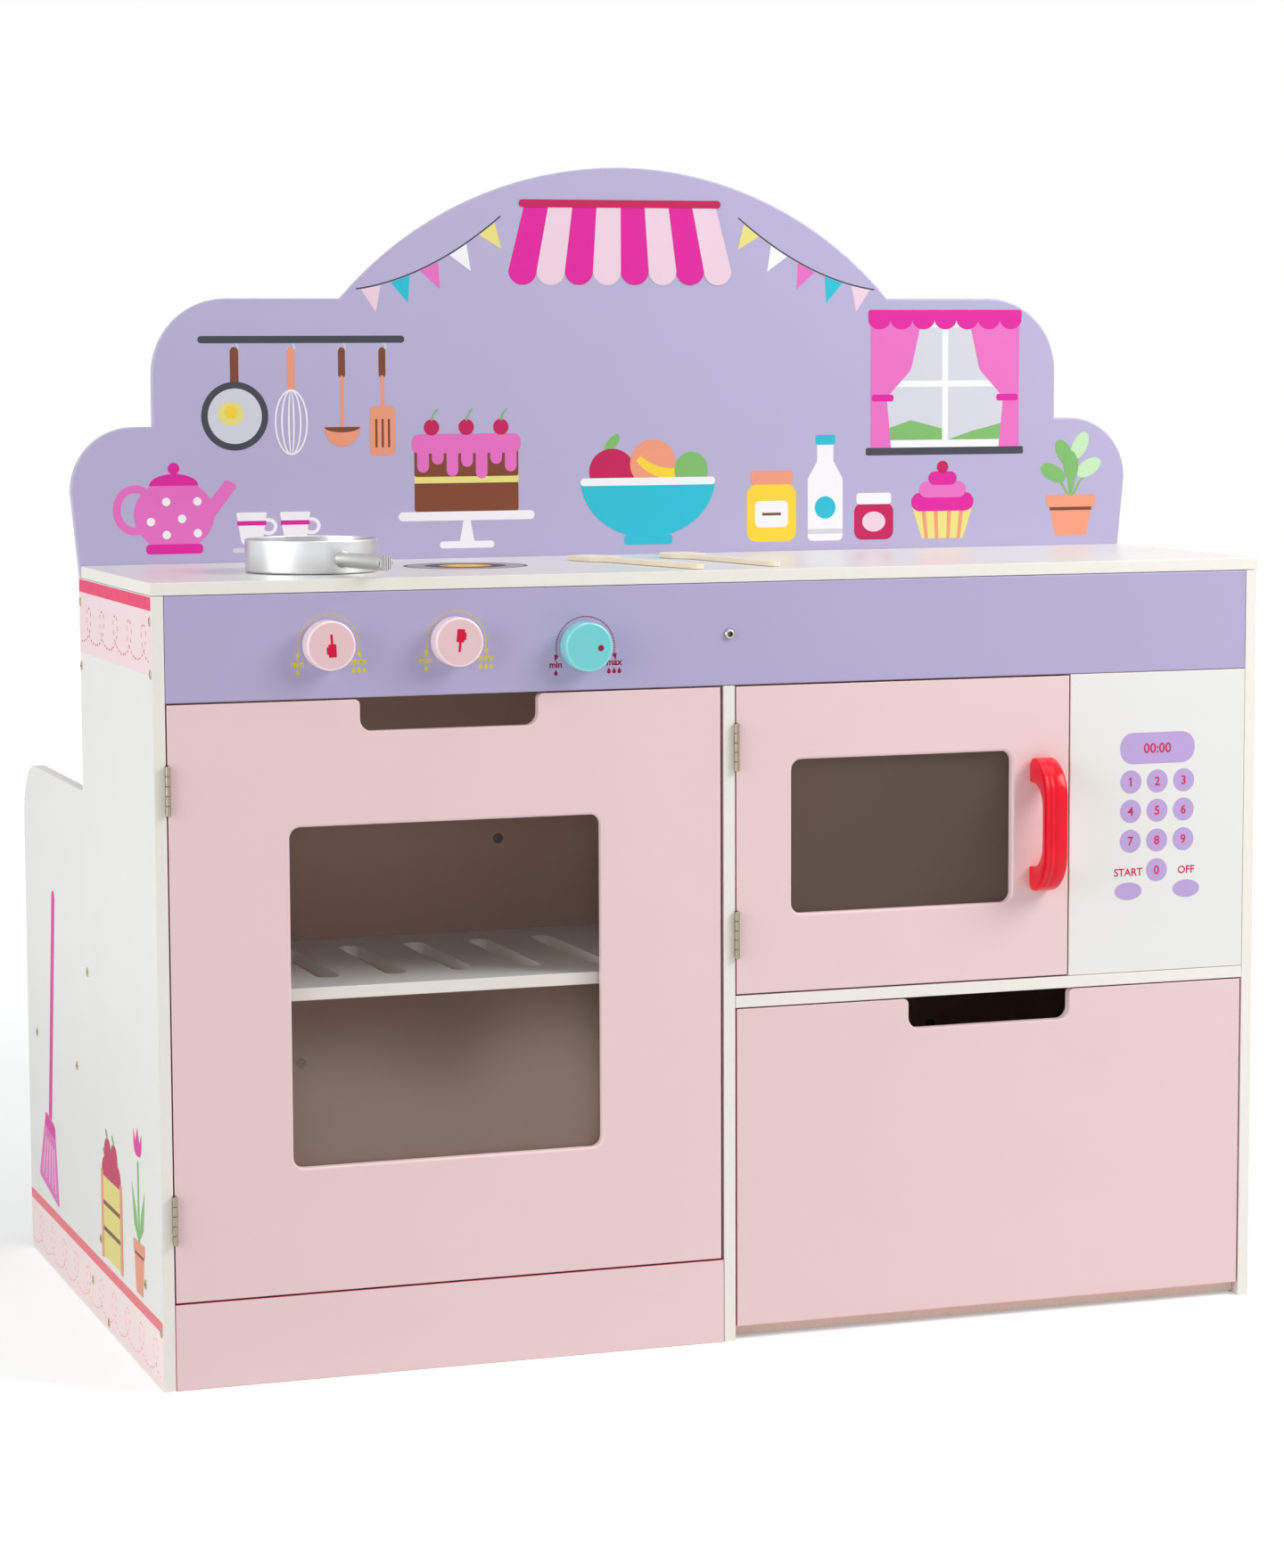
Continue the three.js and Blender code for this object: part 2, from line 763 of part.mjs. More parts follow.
// The bow handle, in its own frame: its feet stand on y = 0, and z runs up from its lower end.
function bowHandle(screw_heights) {
  const grip_back = handle_grip - handle_reach;
  const sunk = handle_edge + overrun;
  const shape = outline([
    [sunk, 0],
    [sunk, handle_foot],
    [grip_back, handle_foot, handle_inner_radius],
    [grip_back, handle_length - handle_foot, handle_inner_radius],
    [sunk, handle_length - handle_foot],
    [sunk, handle_length],
    [-handle_reach, handle_length, handle_outer_radius],
    [-handle_reach, 0, handle_outer_radius],
  ]);
  const bow = new THREE.ExtrudeGeometry(shape, {
    depth: handle_width - 2 * handle_edge,
    bevelThickness: handle_edge,
    bevelSize: handle_edge,
    bevelOffset: -handle_edge,
    bevelSegments: 2,
    curveSegments: outline_steps,
  });
  bow.rotateX(Math.PI / 2).rotateZ(Math.PI / 2).translate(handle_edge, 0, 0);
  const behind = block(
    [-overrun, handle_width + overrun],
    [-seam, sunk + overrun],
    [-overrun, handle_length + overrun],
  );
  const bores = screw_heights.map((z) =>
    rod("y", screw_hole_radius, [handle_width / 2, 0, z], [-handle_foot / 2, 0]),
  );
  return cutFrom(bow, [behind, ...bores]);
}

function addMicrowaveDoor() {
  const [width, height] = [microwave_door_width, microwave_door_height];
  const door = groupAt([microwave_door_x, 0, microwave_door_z]);
  const { body, pane } = glazedDoor(
    rectangle([0, 0], [width, height]),
    [microwave_left_stile, microwave_bottom_rail],
    [width - microwave_right_stile, height - microwave_top_rail],
  );
  const recesses = Object.values(microwave_hinges).map((z) =>
    hingeRecess(0, microwave_hinge_x - microwave_door_x, 1, door_leaf_width, z - microwave_door_z),
  );
  const screw_heights = [handle_foot / 2, handle_length - handle_foot / 2];
  const screw_x = handle_x + handle_width / 2;
  const holes = screw_heights.map((z) =>
    rod("y", screw_hole_radius, [screw_x, 0, handle_rise + z], [-overrun, board + overrun]),
  );
  addPiece(door, "microwave_door", cutFrom(body, [...recesses, ...holes]), pink_paint);
  addPiece(door, "microwave_window", pane, clear_acrylic);
  addPiece(door, "microwave_handle", bowHandle(screw_heights), red_plastic, [
    handle_x,
    0,
    handle_rise,
  ]);
  const handle_screw_length = behind_front + handle_foot / 2 - screw_play;
  ["lower", "upper"].forEach((level, i) => {
    const fastener = screw(handle_screw_length).rotateZ(Math.PI);
    addPiece(door, "handle_screw_" + level, fastener, steel, [
      screw_x,
      behind_front,
      handle_rise + screw_heights[i],
    ]);
  });
  addHinge("microwave_hinge_upper", microwave_hinge_x, microwave_hinges.upper);
  addHinge("microwave_hinge_lower", microwave_hinge_x, microwave_hinges.lower);

  // The catch stands on the microwave floor, behind the plate in the door's lower corner.
  const strike_right = width - (catch_width - strike_width) / 2;
  const strike = block(
    [strike_right - strike_width, strike_right],
    [behind_front, behind_front + strike_thickness],
    [slip, slip + low_strike_height],
  );
  addPiece(door, "microwave_strike_plate", strike, steel);
  const magnet_front = behind_front + strike_thickness + slip;
  const magnet_right = microwave_door_x + width;
  const magnet = block(
    [magnet_right - catch_width, magnet_right],
    [magnet_front, magnet_front + catch_depth],
    [microwave_floor_top + seam, microwave_floor_top + seam + low_catch_height],
  );
  addPiece(cabinet, "microwave_catch", magnet, white_plastic);
}

// Drawer

function addDrawer() {
  const drawer = groupAt([drawer_x, 0, drawer_z]);
  const [width, height] = [drawer_width, drawer_front_height];
  const front = outline([
    [0, 0],
    [width, 0],
    [width, height],
    ...notchCorners(width / 2 + drawer_notch_shift, height),
    [0, height],
  ]);
  addPiece(drawer, "drawer_front", frontBoard(front), pink_paint);

  const levels = [drawer_box_z, drawer_box_z + drawer_side_height];
  const depth = [behind_front, behind_front + drawer_box_depth];
  const left_side = [drawer_inset, drawer_inset + board];
  const right_side = [width - drawer_inset - board, width - drawer_inset];
  addPiece(drawer, "drawer_side_left", block(left_side, depth, levels), white_paint);
  addPiece(drawer, "drawer_side_right", block(right_side, depth, levels), white_paint);
  const between = [left_side[1] + seam, right_side[0] - seam];
  addPiece(drawer, "drawer_back", block(between, [depth[1] - board, depth[1]], levels), white_paint);
  const bottom_z = drawer_box_z + drawer_bottom_lift;
  const bottom = block(
    between,
    [depth[0], depth[1] - board - seam],
    [bottom_z, bottom_z + drawer_bottom_thickness],
  );
  addPiece(drawer, "drawer_bottom", bottom, white_paint);

  // A plastic strip on the base board under each side.
  const glide = (side) => {
    const centre = drawer_x + (side[0] + side[1]) / 2;
    return block(
      [centre - glide_width / 2, centre + glide_width / 2],
      [behind_front + glide_end_gap, worktop_depth - glide_end_gap],
      [base_board_top + seam, glide_top],
    );
  };
  addPiece(cabinet, "drawer_glide_left", glide(left_side), white_plastic);
  addPiece(cabinet, "drawer_glide_right", glide(right_side), white_plastic);
}

// Knobs

// A knob that stands out from the fascia, with a blind bore for its screw.
function knobBody() {
  const radius = knob_diameter / 2;
  const profile = [
    new THREE.Vector2(0, knob_bore_depth),
    new THREE.Vector2(screw_hole_radius, knob_bore_depth),
    new THREE.Vector2(screw_hole_radius, slip),
    new THREE.Vector2(radius, slip),
  ];
  for (let i = 0; i <= arc_steps; i++) {
    const angle = ((i / arc_steps) * Math.PI) / 2;
    profile.push(
      new THREE.Vector2(
        radius - knob_edge_radius * (1 - Math.cos(angle)),
        knob_depth - knob_edge_radius * (1 - Math.sin(angle)),
      ),
    );
  }
  profile.push(new THREE.Vector2(0, knob_depth));
  return new THREE.LatheGeometry(profile, turned_sides).rotateX(Math.PI);
}

function addKnobs() {
  const finishes = { knob_left: pink_plastic, knob_middle: pink_plastic, knob_right: teal_plastic };
  const length = behind_front + knob_bore_depth - screw_play;
  for (const [name, { x, z }] of Object.entries(knob_places)) {
    const group = groupAt([x, 0, z]);
    addPiece(group, name, knobBody(), finishes[name]);
    const fastener = screw(length).rotateZ(Math.PI);
    addPiece(group, name + "_screw", fastener, steel, [0, behind_front, 0]);
  }
}

// Saucepan and utensils

function addSaucepan() {
  const pan = groupAt([pan_x, pan_y, worktop_height + slip], pan_angle);
  const profile = [
    [0, 0],
    [pan_radius, 0],
    [pan_radius, pan_height],
    [pan_radius - pan_wall, pan_height],
    [pan_radius - pan_wall, pan_wall],
    [0, pan_wall],
  ].map(([radius, height]) => new THREE.Vector2(radius, height));
  const body = new THREE.LatheGeometry(profile, turned_sides).rotateX(Math.PI / 2);
  addPiece(pan, "saucepan", body, aluminium);
  const handle = rod(
    "y",
    pan_handle_radius,
    [0, 0, pan_handle_height],
    [-pan_radius - seam - pan_handle_length, -pan_radius - seam],
    turned_sides / 2,
  );
  addPiece(pan, "saucepan_handle", handle, aluminium);
}

// A flat utensil that lies on the worktop: its stem starts at the group's origin, and its head is
// a rounded shape at the far end.
function addUtensil(name, place, angle, head_width, head_length, head_radius) {
  const [x, y] = place;
  const group = groupAt([x, y, worktop_height + slip], angle);
  const neck = utensil_length - head_length;
  const shape = outline([
    [-utensil_stem / 2, 0, utensil_stem_radius],
    [utensil_stem / 2, 0, utensil_stem_radius],
    [utensil_stem / 2, neck, utensil_stem],
    [head_width / 2, neck, head_radius],
    [head_width / 2, utensil_length, head_radius],
    [-head_width / 2, utensil_length, head_radius],
    [-head_width / 2, neck, head_radius],
    [-utensil_stem / 2, neck, utensil_stem],
  ]);
  addPiece(group, name, flatBoard(shape, 0, utensil_thickness), beech);
}

addSidePanels();
addWorktop();
addBackboard();
addBackAndSeat();
addFascia();
addDivider();
addFloors();
addOvenRack();
addKeypadPanel();
addOvenDoor();
addMicrowaveDoor();
addDrawer();
addKnobs();
addSaucepan();
addUtensil(
  "spatula",
  [spatula_x, spatula_y],
  spatula_angle,
  spatula_head_width,
  spatula_head_length,
  spatula_head_radius,
);
addUtensil(
  "spoon",
  [spoon_x, spoon_y],
  spoon_angle,
  spoon_head_width,
  spoon_head_length,
  spoon_head_radius,
);

export default kitchen;
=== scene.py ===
import json
import math

import bmesh
import bpy
from bpy.props import FloatProperty, FloatVectorProperty, PointerProperty
from mathutils import Matrix, Vector
from mathutils.geometry import tessellate_polygon

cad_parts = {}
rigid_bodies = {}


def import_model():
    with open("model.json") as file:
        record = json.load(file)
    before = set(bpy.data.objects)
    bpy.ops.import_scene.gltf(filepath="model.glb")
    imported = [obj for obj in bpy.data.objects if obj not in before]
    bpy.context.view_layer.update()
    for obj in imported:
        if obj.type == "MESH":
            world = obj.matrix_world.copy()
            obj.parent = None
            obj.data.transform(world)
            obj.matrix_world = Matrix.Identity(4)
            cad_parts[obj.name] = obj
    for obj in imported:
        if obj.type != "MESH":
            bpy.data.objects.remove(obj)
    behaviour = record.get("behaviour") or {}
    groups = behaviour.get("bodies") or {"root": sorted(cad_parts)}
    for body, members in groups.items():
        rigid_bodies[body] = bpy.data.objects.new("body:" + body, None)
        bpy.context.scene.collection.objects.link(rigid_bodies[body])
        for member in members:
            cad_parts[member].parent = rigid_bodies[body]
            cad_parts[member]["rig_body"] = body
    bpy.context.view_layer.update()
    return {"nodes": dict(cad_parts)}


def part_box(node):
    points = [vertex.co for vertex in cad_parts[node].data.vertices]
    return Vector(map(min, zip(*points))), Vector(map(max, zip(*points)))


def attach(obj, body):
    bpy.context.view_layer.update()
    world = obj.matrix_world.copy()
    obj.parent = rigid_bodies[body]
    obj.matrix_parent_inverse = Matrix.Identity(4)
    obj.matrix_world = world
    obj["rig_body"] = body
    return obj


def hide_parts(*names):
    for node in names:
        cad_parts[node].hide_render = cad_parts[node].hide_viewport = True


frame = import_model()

bl_info = {
    "name": "Wooden toy kitchen",
    "version": (1, 0, 0),
    "blender": (4, 5, 0),
    "location": "View3D > Sidebar > Toy kitchen",
    "description": "Finishes, prints and fittings for a painted wooden toy kitchen",
    "category": "Object",
}

MM = 0.001
# Corners closer than WELD are joined, and a face within FLAT of a level lies on it.
WELD, FLAT = 0.002 * MM, 0.01 * MM
# Lengths and areas in mm under this count as none.
TINY = 1e-9
# Steps in which an eased edge of a board turns
EDGE_STEPS = 3
SCREW_SIDES = 24
# The cabinet's left, front, lower corner. Every size below is in mm from there unless it says
# otherwise: x to the right, y to the back, z up.
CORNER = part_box("side_panel_left")[0]
RIGHT, BACK, UP = (1.0, 0.0, 0.0), (0.0, 1.0, 0.0), (0.0, 0.0, 1.0)
FORWARD = (0.0, -1.0, 0.0)


def spot(x, y, z):
    """A point of the cabinet, given in mm, as a place in the frame."""
    return CORNER + Vector((x, y, z)) * MM


def extent(name):
    """Lowest and highest corner of a CAD node, in mm of the cabinet."""
    return [(corner - CORNER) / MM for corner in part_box(name)]


def body_under(name):
    """The body that a CAD node rides on."""
    return frame["nodes"][name]["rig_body"]


def linear(hex_colour):
    """The linear colour of an sRGB hex value."""
    colour = []
    for start in (1, 3, 5):
        value = int(hex_colour[start:start + 2], 16) / 255
        colour.append(value / 12.92 if value <= 0.04045 else ((value + 0.055) / 1.055) ** 2.4)
    return (*colour, 1.0)


# Settings


def colour(name, description, hex_colour):
    """A colour that the user can change."""
    return FloatVectorProperty(
        name=name,
        description=description,
        subtype="COLOR",
        size=4,
        min=0,
        max=1,
        default=linear(hex_colour),
    )


def number(name, description, value, **kind):
    """A strength, a power or a length that the user can change."""
    return FloatProperty(name=name, description=description, min=0, default=value, **kind)


def length(name, description, millimetres):
    """A length that the user can change."""
    kind = {"subtype": "DISTANCE", "unit": "LENGTH", "precision": 5}
    return number(name, description, millimetres * MM, **kind)


class BoardSettings(bpy.types.PropertyGroup):
    """Colours and eased edges of the boards"""

    white: colour("White", "Sides, worktop, shelves and keypad panel", "#e6e5e1")
    sealed_edge: colour("Sealed edge", "Narrow edges of the white boards", "#ede8df")
    backboard: colour("Backboard", "Backboard with the stepped outline", "#b2abcd")
    fascia: colour("Fascia", "Control fascia under the worktop", "#afa7cb")
    door_pink: colour("Door pink", "Oven door, microwave door and plinth", "#e9cbcc")
    drawer_pink: colour("Drawer pink", "Drawer front", "#e6c8c9")
    hardboard: colour("Hardboard", "Inner face of the lower back board", "#cfa796")
    # Lighter pink on the cut edges of the windows and notches: a painted highlight, as these edges
    # catch the light.
    door_edge: colour("Pink edge", "Edges of the windows and the finger notches", "#fbdede")
    # Dark red on the plinth's edges: painted shade, the dark red line of the gap under the door.
    rose_edge: colour("Rose edge", "Edges of the plinth, seen in the gap under the door", "#cf3a55")
    # Darker pink on the outer edges of the doors and the drawer front: painted shade for the red
    # lines in the gaps round them.
    deep_edge: colour("Deep edge", "Outer edges of the doors and the drawer front", "#d97a83")
    # Pale tan of the bare board, lightened by a painted reflection of the white floor.
    raw_edge: colour("Raw board", "Unpainted base board under the drawer", "#ecd9cb")
    white_round: length("White edge", "Rounding on the white boards' edges", 0.6)
    door_round: length("Door edge", "Rounding on the doors and the drawer front", 0.7)
    window_round: length("Window edge", "Rounding round the windows in the doors", 2.0)
    lilac_round: length("Lilac edge", "Rounding on the backboard and the fascia", 1.1)


class PrintSettings(bpy.types.PropertyGroup):
    """Ink colours and the thickness of the prints"""

    magenta: colour("Magenta", "Strong pink of the pictures", "#d9269a")
    orchid: colour("Orchid", "Middle pink of the pictures", "#e16fbd")
    blush: colour("Blush", "Pale pink of the pictures", "#e8cbda")
    crimson: colour("Crimson", "Dark red of the pictures and the upper loops", "#bf2358")
    coral: colour("Coral", "Orange pink of the pictures", "#e8987a")
    yellow: colour("Yellow", "Clear yellow of the pictures", "#f2cf3f")
    butter: colour("Butter", "Pale yellow of the pictures", "#e4d97f")
    mint: colour("Mint", "Pale green of the pictures", "#bfe0b6")
    leaf: colour("Leaf", "Leaf green of the pictures", "#7db56a")
    teal: colour("Teal", "Blue green of the pictures", "#2fb9cf")
    chalk: colour("Chalk", "White of the pictures", "#eeedf2")
    mist: colour("Mist", "Pale grey of the pictures", "#cfcfd9")
    slate: colour("Slate", "Dark grey of the pictures", "#45454f")
    cocoa: colour("Cocoa", "Brown of the pictures", "#7c4631")
    ruby: colour("Ruby", "Bright red of the pictures on the knobs", "#d4103e")
    garnet: colour("Garnet", "Dark red of the right dial", "#980f3c")
    mark: colour("Mark", "Yellow of the left and middle dials", "#dccb45")
    stripe: colour("Stripe", "Hot pink stripe at the top of the sides", "#ea2866")
    salmon: colour("Salmon", "Stripe and loops low on the sides", "#ee7480")
    band: colour("Band", "Pale pink band high on the sides", "#f6dde0")
    foot_band: colour("Foot band", "Pale pink band at the foot of the sides", "#fce8e6")
    key: colour("Key", "Purple keys of the keypad", "#bba3d6")
    digit: colour("Digit", "Lettering of the keypad", "#c92a5b")
    ring: colour("Hot plate ring", "Grey ring of the printed hot plate", "#a3a2a6")
    glow: colour("Hot plate glow", "Orange middle of the printed hot plate", "#e8a54a")
    film: length("Ink film", "Height of the first print of ink", 0.06)
    overprint: length("Overprint", "Added height of each print on another", 0.03)


class FittingSettings(bpy.types.PropertyGroup):
    """Colours of the plastic, metal and wooden fittings"""

    # Colour of the veil on the windows: a painted reflection of the white floor, heavier low down.
    dust: colour("Dust", "Film of fine dust on the windows in the doors", "#bba596")
    handle_red: colour("Handle", "Pull handle of the microwave door", "#ec0c28")
    knob_pink: colour("Pink knobs", "Faces of the left and middle knob", "#e8c3c8")
    knob_pale_pink: colour("Pink knobs' sides", "Sides of the left and middle knob", "#f7dfe5")
    knob_teal: colour("Teal knob", "Face of the right knob", "#71d0d3")
    knob_pale_teal: colour("Teal knob's side", "Side of the right knob", "#88dfe1")
    nickel: colour("Nickel", "Plated hinges", "#9c9182")
    zinc: colour("Zinc", "Screws, bolts and strike plates", "#b9b6ae")
    # Dark grey of the blackened bolts, also put in the screws' recesses as painted shade.
    blackened: colour("Blackened steel", "Back board's bolts and the screws' recesses", "#57534e")
    brassy: colour("Yellow zinc", "Small screws in the side panels", "#c2ab84")
    aluminium: colour("Aluminium", "Outside of the saucepan", "#d8d9da")
    # A darker copy of the aluminium for the inner faces: painted shade inside the pan.
    pan_inside: colour("Inside of the pan", "Duller inner face of the saucepan", "#b5b4b6")
    rod: colour("Rod", "Handle of the saucepan", "#bfbfbd")
    groove_shade: colour("Rod end", "Grooves in the end of the rod", "#7b7873")
    beech: colour("Beech", "Spatula and spoon", "#f4e8d0")
    groove: length("Handle groove", "Depth of the two grooves along the handle", 1.2)
    knob_round: length("Knob edge", "Rounding at the front of each knob", 1.5)


class StudioSettings(bpy.types.PropertyGroup):
    """Lamps and floor of the studio"""

    key_power: number(
        "Key light", "Power of the large soft lamp at the upper right", 35, unit="POWER"
    )
    fill_power: number("Fill light", "Power of the large soft lamp at the left", 54, unit="POWER")
    top_power: number("Top light", "Power of the soft lamp overhead", 14, unit="POWER")
    surround: number("Surround", "Strength of the even light from all round", 0.3, max=2)
    floor: colour("Floor", "White paper that the kitchen stands on", "#f1f5f4")


# Nodes and materials

# A Mix node blends its colours 6 and 7 and gives the blend at output 2.
BLEND = {"give": 2, "data_type": "RGBA"}


def fill(tree, made, inputs):
    """Gives a node's inputs their values, or links them where the value is a socket."""
    for key, value in inputs.items():
        if isinstance(value, bpy.types.NodeSocket):
            tree.links.new(value, made.inputs[key])
        else:
            made.inputs[key].default_value = value


def node(tree, kind, inputs=None, give=0, **settings):
    """Adds a node with its settings, input values and links, and gives one of its outputs."""
    made = tree.nodes.new("ShaderNode" + kind)
    for key, value in settings.items():
        setattr(made, key, value)
    fill(tree, made, inputs or {})
    return made.outputs[give] if made.outputs else None


def blank(name):
    """A new material with its tree and the object's own coordinates."""
    made = bpy.data.materials.new(name)
    made.use_nodes = True
    return made, made.node_tree, node(made.node_tree, "TexCoord", give="Object")


def finished(made, inputs):
    """The material, with its shader's inputs filled."""
    fill(made.node_tree, made.node_tree.nodes["Principled BSDF"], inputs)
    return made


def per(millimetres):
    """The scale of a noise whose grains are that many mm across."""
    return 1 / (millimetres * MM)


def shade(tint, factor):
    """The colour, made lighter or darker."""
    return (*[min(1.0, channel * factor) for channel in tint[:3]], 1.0)


def mottle(tree, place, tint, grain, spread, detail=3.0):
    """A colour that wanders a little lighter and darker over patches of a size in mm."""
    noise = node(tree, "TexNoise", {"Vector": place, "Scale": per(grain), "Detail": detail})
    tints = {6: shade(tint, 1 - spread), 7: shade(tint, 1 + spread)}
    return node(tree, "Mix", {0: noise, **tints}, **BLEND)


def uneven(tree, place, grain, low, high):
    """A roughness that wanders between two values over patches of a size in mm."""
    noise = node(tree, "TexNoise", {"Vector": place, "Scale": per(grain), "Detail": 1.0})
    return node(tree, "MapRange", {"Value": noise, 1: 0.2, 2: 0.8, 3: low, 4: high})


def relief(tree, place, grain, height, detail=2.0):
    """A fine bump with grains of a size and a height in mm."""
    noise = node(tree, "TexNoise", {"Vector": place, "Scale": per(grain), "Detail": detail})
    return node(tree, "Bump", {"Height": noise, "Strength": 1.0, "Distance": height * MM})


def looking(tree, way):
    """How squarely the surface looks along a direction of the object: 1 straight along it."""
    normal = node(tree, "TexCoord", give="Normal")
    return node(tree, "VectorMath", {0: normal, 1: way}, "Value", operation="DOT_PRODUCT")


def sprayed_lacquer(name, tint, edge=None, thin=None):
    """Sprayed lacquer on a sanded board: an even satin coat with a faint orange peel, which
    breaks up reflections a little. The peel is 1 mm on the board and drawn 6 mm wide to show.
    Edge is the colour of the narrow edges, on faces square to the thin direction: the edges'
    own colour on the white boards, and painted light on the pink ones, a painted highlight round
    the windows and notches and painted shade on the plinth's edges."""
    made, tree, place = blank(name)
    paint = mottle(tree, place, tint, 70, 0.018)
    if edge is not None:
        across = node(tree, "Math", {0: looking(tree, thin)}, operation="ABSOLUTE")
        narrow = node(tree, "MapRange", {"Value": across, 1: 0.5, 2: 0.9, 3: 1.0, 4: 0.0})
        edge_seal_and_light = mottle(tree, place, edge, 9, 0.03)
        paint = node(tree, "Mix", {0: narrow, 6: paint, 7: edge_seal_and_light}, **BLEND)
    return finished(made, {
        "Base Color": paint,
        "Roughness": uneven(tree, place, 60, 0.28, 0.34),
        "IOR": 1.5,
        "Normal": relief(tree, place, 6, 0.005, detail=1.0),
    })


def pressed_hardboard(name, tint, paint):
    """Pressed hardboard, left bare on the face inside the cabinet: brown, matt, with short
    fibres a few mm long. The other faces are sprayed white."""
    made, tree, place = blank(name)
    fibre = node(tree, "Mapping", {"Vector": place, "Scale": (1.0, 1.0, 3.0)})
    fibres = mottle(tree, fibre, tint, 5, 0.03)
    patches = mottle(tree, place, tint, 120, 0.12)
    bare = node(tree, "Mix", {0: 0.35, 6: fibres, 7: patches}, **BLEND)
    inside = node(tree, "MapRange", {"Value": looking(tree, FORWARD), 1: 0.5, 2: 0.9})
    sprayed = mottle(tree, place, paint, 70, 0.018)
    return finished(made, {
        "Base Color": node(tree, "Mix", {0: inside, 6: sprayed, 7: bare}, **BLEND),
        "Roughness": node(tree, "MapRange", {"Value": inside, 3: 0.34, 4: 0.62}),
        "IOR": 1.5,
        "Normal": relief(tree, place, 4, 0.004, detail=1.0),
    })


def sawn_fibreboard(name, tint):
    """Sawn medium density fibreboard without paint: tan, matt and woolly, with fibres under
    1 mm that are drawn 2 mm wide to show."""
    made, tree, place = blank(name)
    return finished(made, {
        "Base Color": mottle(tree, place, tint, 2, 0.12, detail=8.0),
        "Roughness": uneven(tree, place, 6, 0.7, 0.85),
        "IOR": 1.45,
        "Normal": relief(tree, place, 2, 0.06, detail=8.0),
    })


def moulded_plastic(name, tint, gloss=(0.16, 0.24), depth=0.1, shine=0.5):
    """Injection moulded ABS or nylon: deep even colour, a skin with a slight waviness from the
    mould, and a little light that passes through the surface."""
    made, tree, place = blank(name)
    return finished(made, {
        "Base Color": mottle(tree, place, tint, 25, 0.012),
        "Roughness": uneven(tree, place, 7, *gloss),
        "IOR": 1.54,
        "Specular IOR Level": shine,
        "Subsurface Weight": depth,
        "Subsurface Radius": (1.0, 0.35, 0.25),
        "Subsurface Scale": 1.2 * MM,
        "Normal": relief(tree, place, 6, 0.02),
    })


def extruded_acrylic(name, tint, low, high, bottom, top):
    """Extruded clear acrylic sheet: nearly invisible, with a polished face that mirrors the
    room a little. A film whose colour is the tint greys it, more of it towards the lower edge:
    a painted reflection of the white floor. Low and high are the heights in mm of the sheet's
    edges; bottom and top are how much the film hides there."""
    made, tree, place = blank(name)
    tall = high - low
    height = node(tree, "SeparateXYZ", {"Vector": place}, "Z")
    drift = node(tree, "TexNoise", {"Vector": place, "Scale": per(160), "Detail": 1.0})
    wander = {0: drift, 1: tall * 0.5 * MM, 2: height}
    lifted = node(tree, "Math", wander, operation="MULTIPLY_ADD")
    middle, fade = low + tall * 0.62, 45
    span = {1: (middle - fade) * MM, 2: (middle + fade) * MM, 3: bottom, 4: top}
    film = node(tree, "MapRange", {"Value": lifted, **span}, interpolation_type="SMOOTHSTEP")
    return finished(made, {
        "Base Color": mottle(tree, place, tint, 60, 0.1),
        "Roughness": uneven(tree, place, 30, 0.05, 0.1),
        "IOR": 1.49,
        "Alpha": film,
    })


def metal(name, tint, gloss=(0.3, 0.45), scratch=1, stretch=(1, 1, 1), height=0.004):
    """Plain metal with marks that are that many mm wide and are stretched along each axis. They
    are drawn wider than real ones, to show. What the making of each metal gives the eye stands
    where it is used."""
    made, tree, place = blank(name)
    along = node(tree, "Mapping", {"Vector": place, "Scale": [1 / part for part in stretch]})
    return finished(made, {
        "Base Color": mottle(tree, along, tint, scratch * 3, 0.05),
        "Metallic": 1.0,
        "Roughness": uneven(tree, along, scratch, *gloss),
        "Normal": relief(tree, along, scratch, height),
    })


def turned_aluminium(name, tint):
    """Spun and polished aluminium: rings under 0.1 mm apart from the turning tool, drawn 0.6 mm
    apart to show, which stretch the highlights up and down the wall. Broad lighter and
    darker streaks run up the wall: painted reflections, as well as marks from drawing the sheet."""
    made, tree, place = blank(name)
    x, y, z = [node(tree, "SeparateXYZ", {"Vector": place}, axis) for axis in "XYZ"]
    flat = node(tree, "CombineXYZ", {"X": x, "Y": y})
    out = node(tree, "VectorMath", {0: flat}, "Value", operation="LENGTH")
    rings = node(tree, "CombineXYZ", {"X": out, "Z": z})
    around = node(tree, "VectorMath", {0: flat}, operation="NORMALIZE")
    return finished(made, {
        # Painted reflections: broad lighter and darker streaks of colour up the wall.
        "Base Color": mottle(tree, around, tint, 350, 0.16),
        "Metallic": 1.0,
        "Roughness": uneven(tree, rings, 0.6, 0.26, 0.36),
        "Anisotropic": 0.55,
        "Tangent": node(tree, "Tangent", direction_type="RADIAL", axis="Z"),
        "Normal": relief(tree, rings, 0.6, 0.004),
    })


def sanded_beech(name, tint):
    """Sanded beech without oil: pale, with straight grain lines 1 to 2 mm apart along the
    piece and the short dark flecks that beech has."""
    made, tree, place = blank(name)
    along = node(tree, "Mapping", {"Vector": place, "Scale": (1.0, 0.06, 1.0)})
    grain = mottle(tree, along, tint, 1.6, 0.1, detail=5.0)
    fleck = node(tree, "Mapping", {"Vector": place, "Scale": (1.0, 0.25, 1.0)})
    spots = node(tree, "TexNoise", {"Vector": fleck, "Scale": per(0.7), "Detail": 2.0})
    flecks = node(tree, "MapRange", {"Value": spots, 1: 0.62, 2: 0.72, 3: 0.0, 4: 0.45})
    return finished(made, {
        "Base Color": node(tree, "Mix", {0: flecks, 6: grain, 7: shade(tint, 0.62)}, **BLEND),
        "Roughness": uneven(tree, along, 2, 0.5, 0.62),
        "IOR": 1.5,
        "Normal": relief(tree, along, 0.9, 0.03),
    })


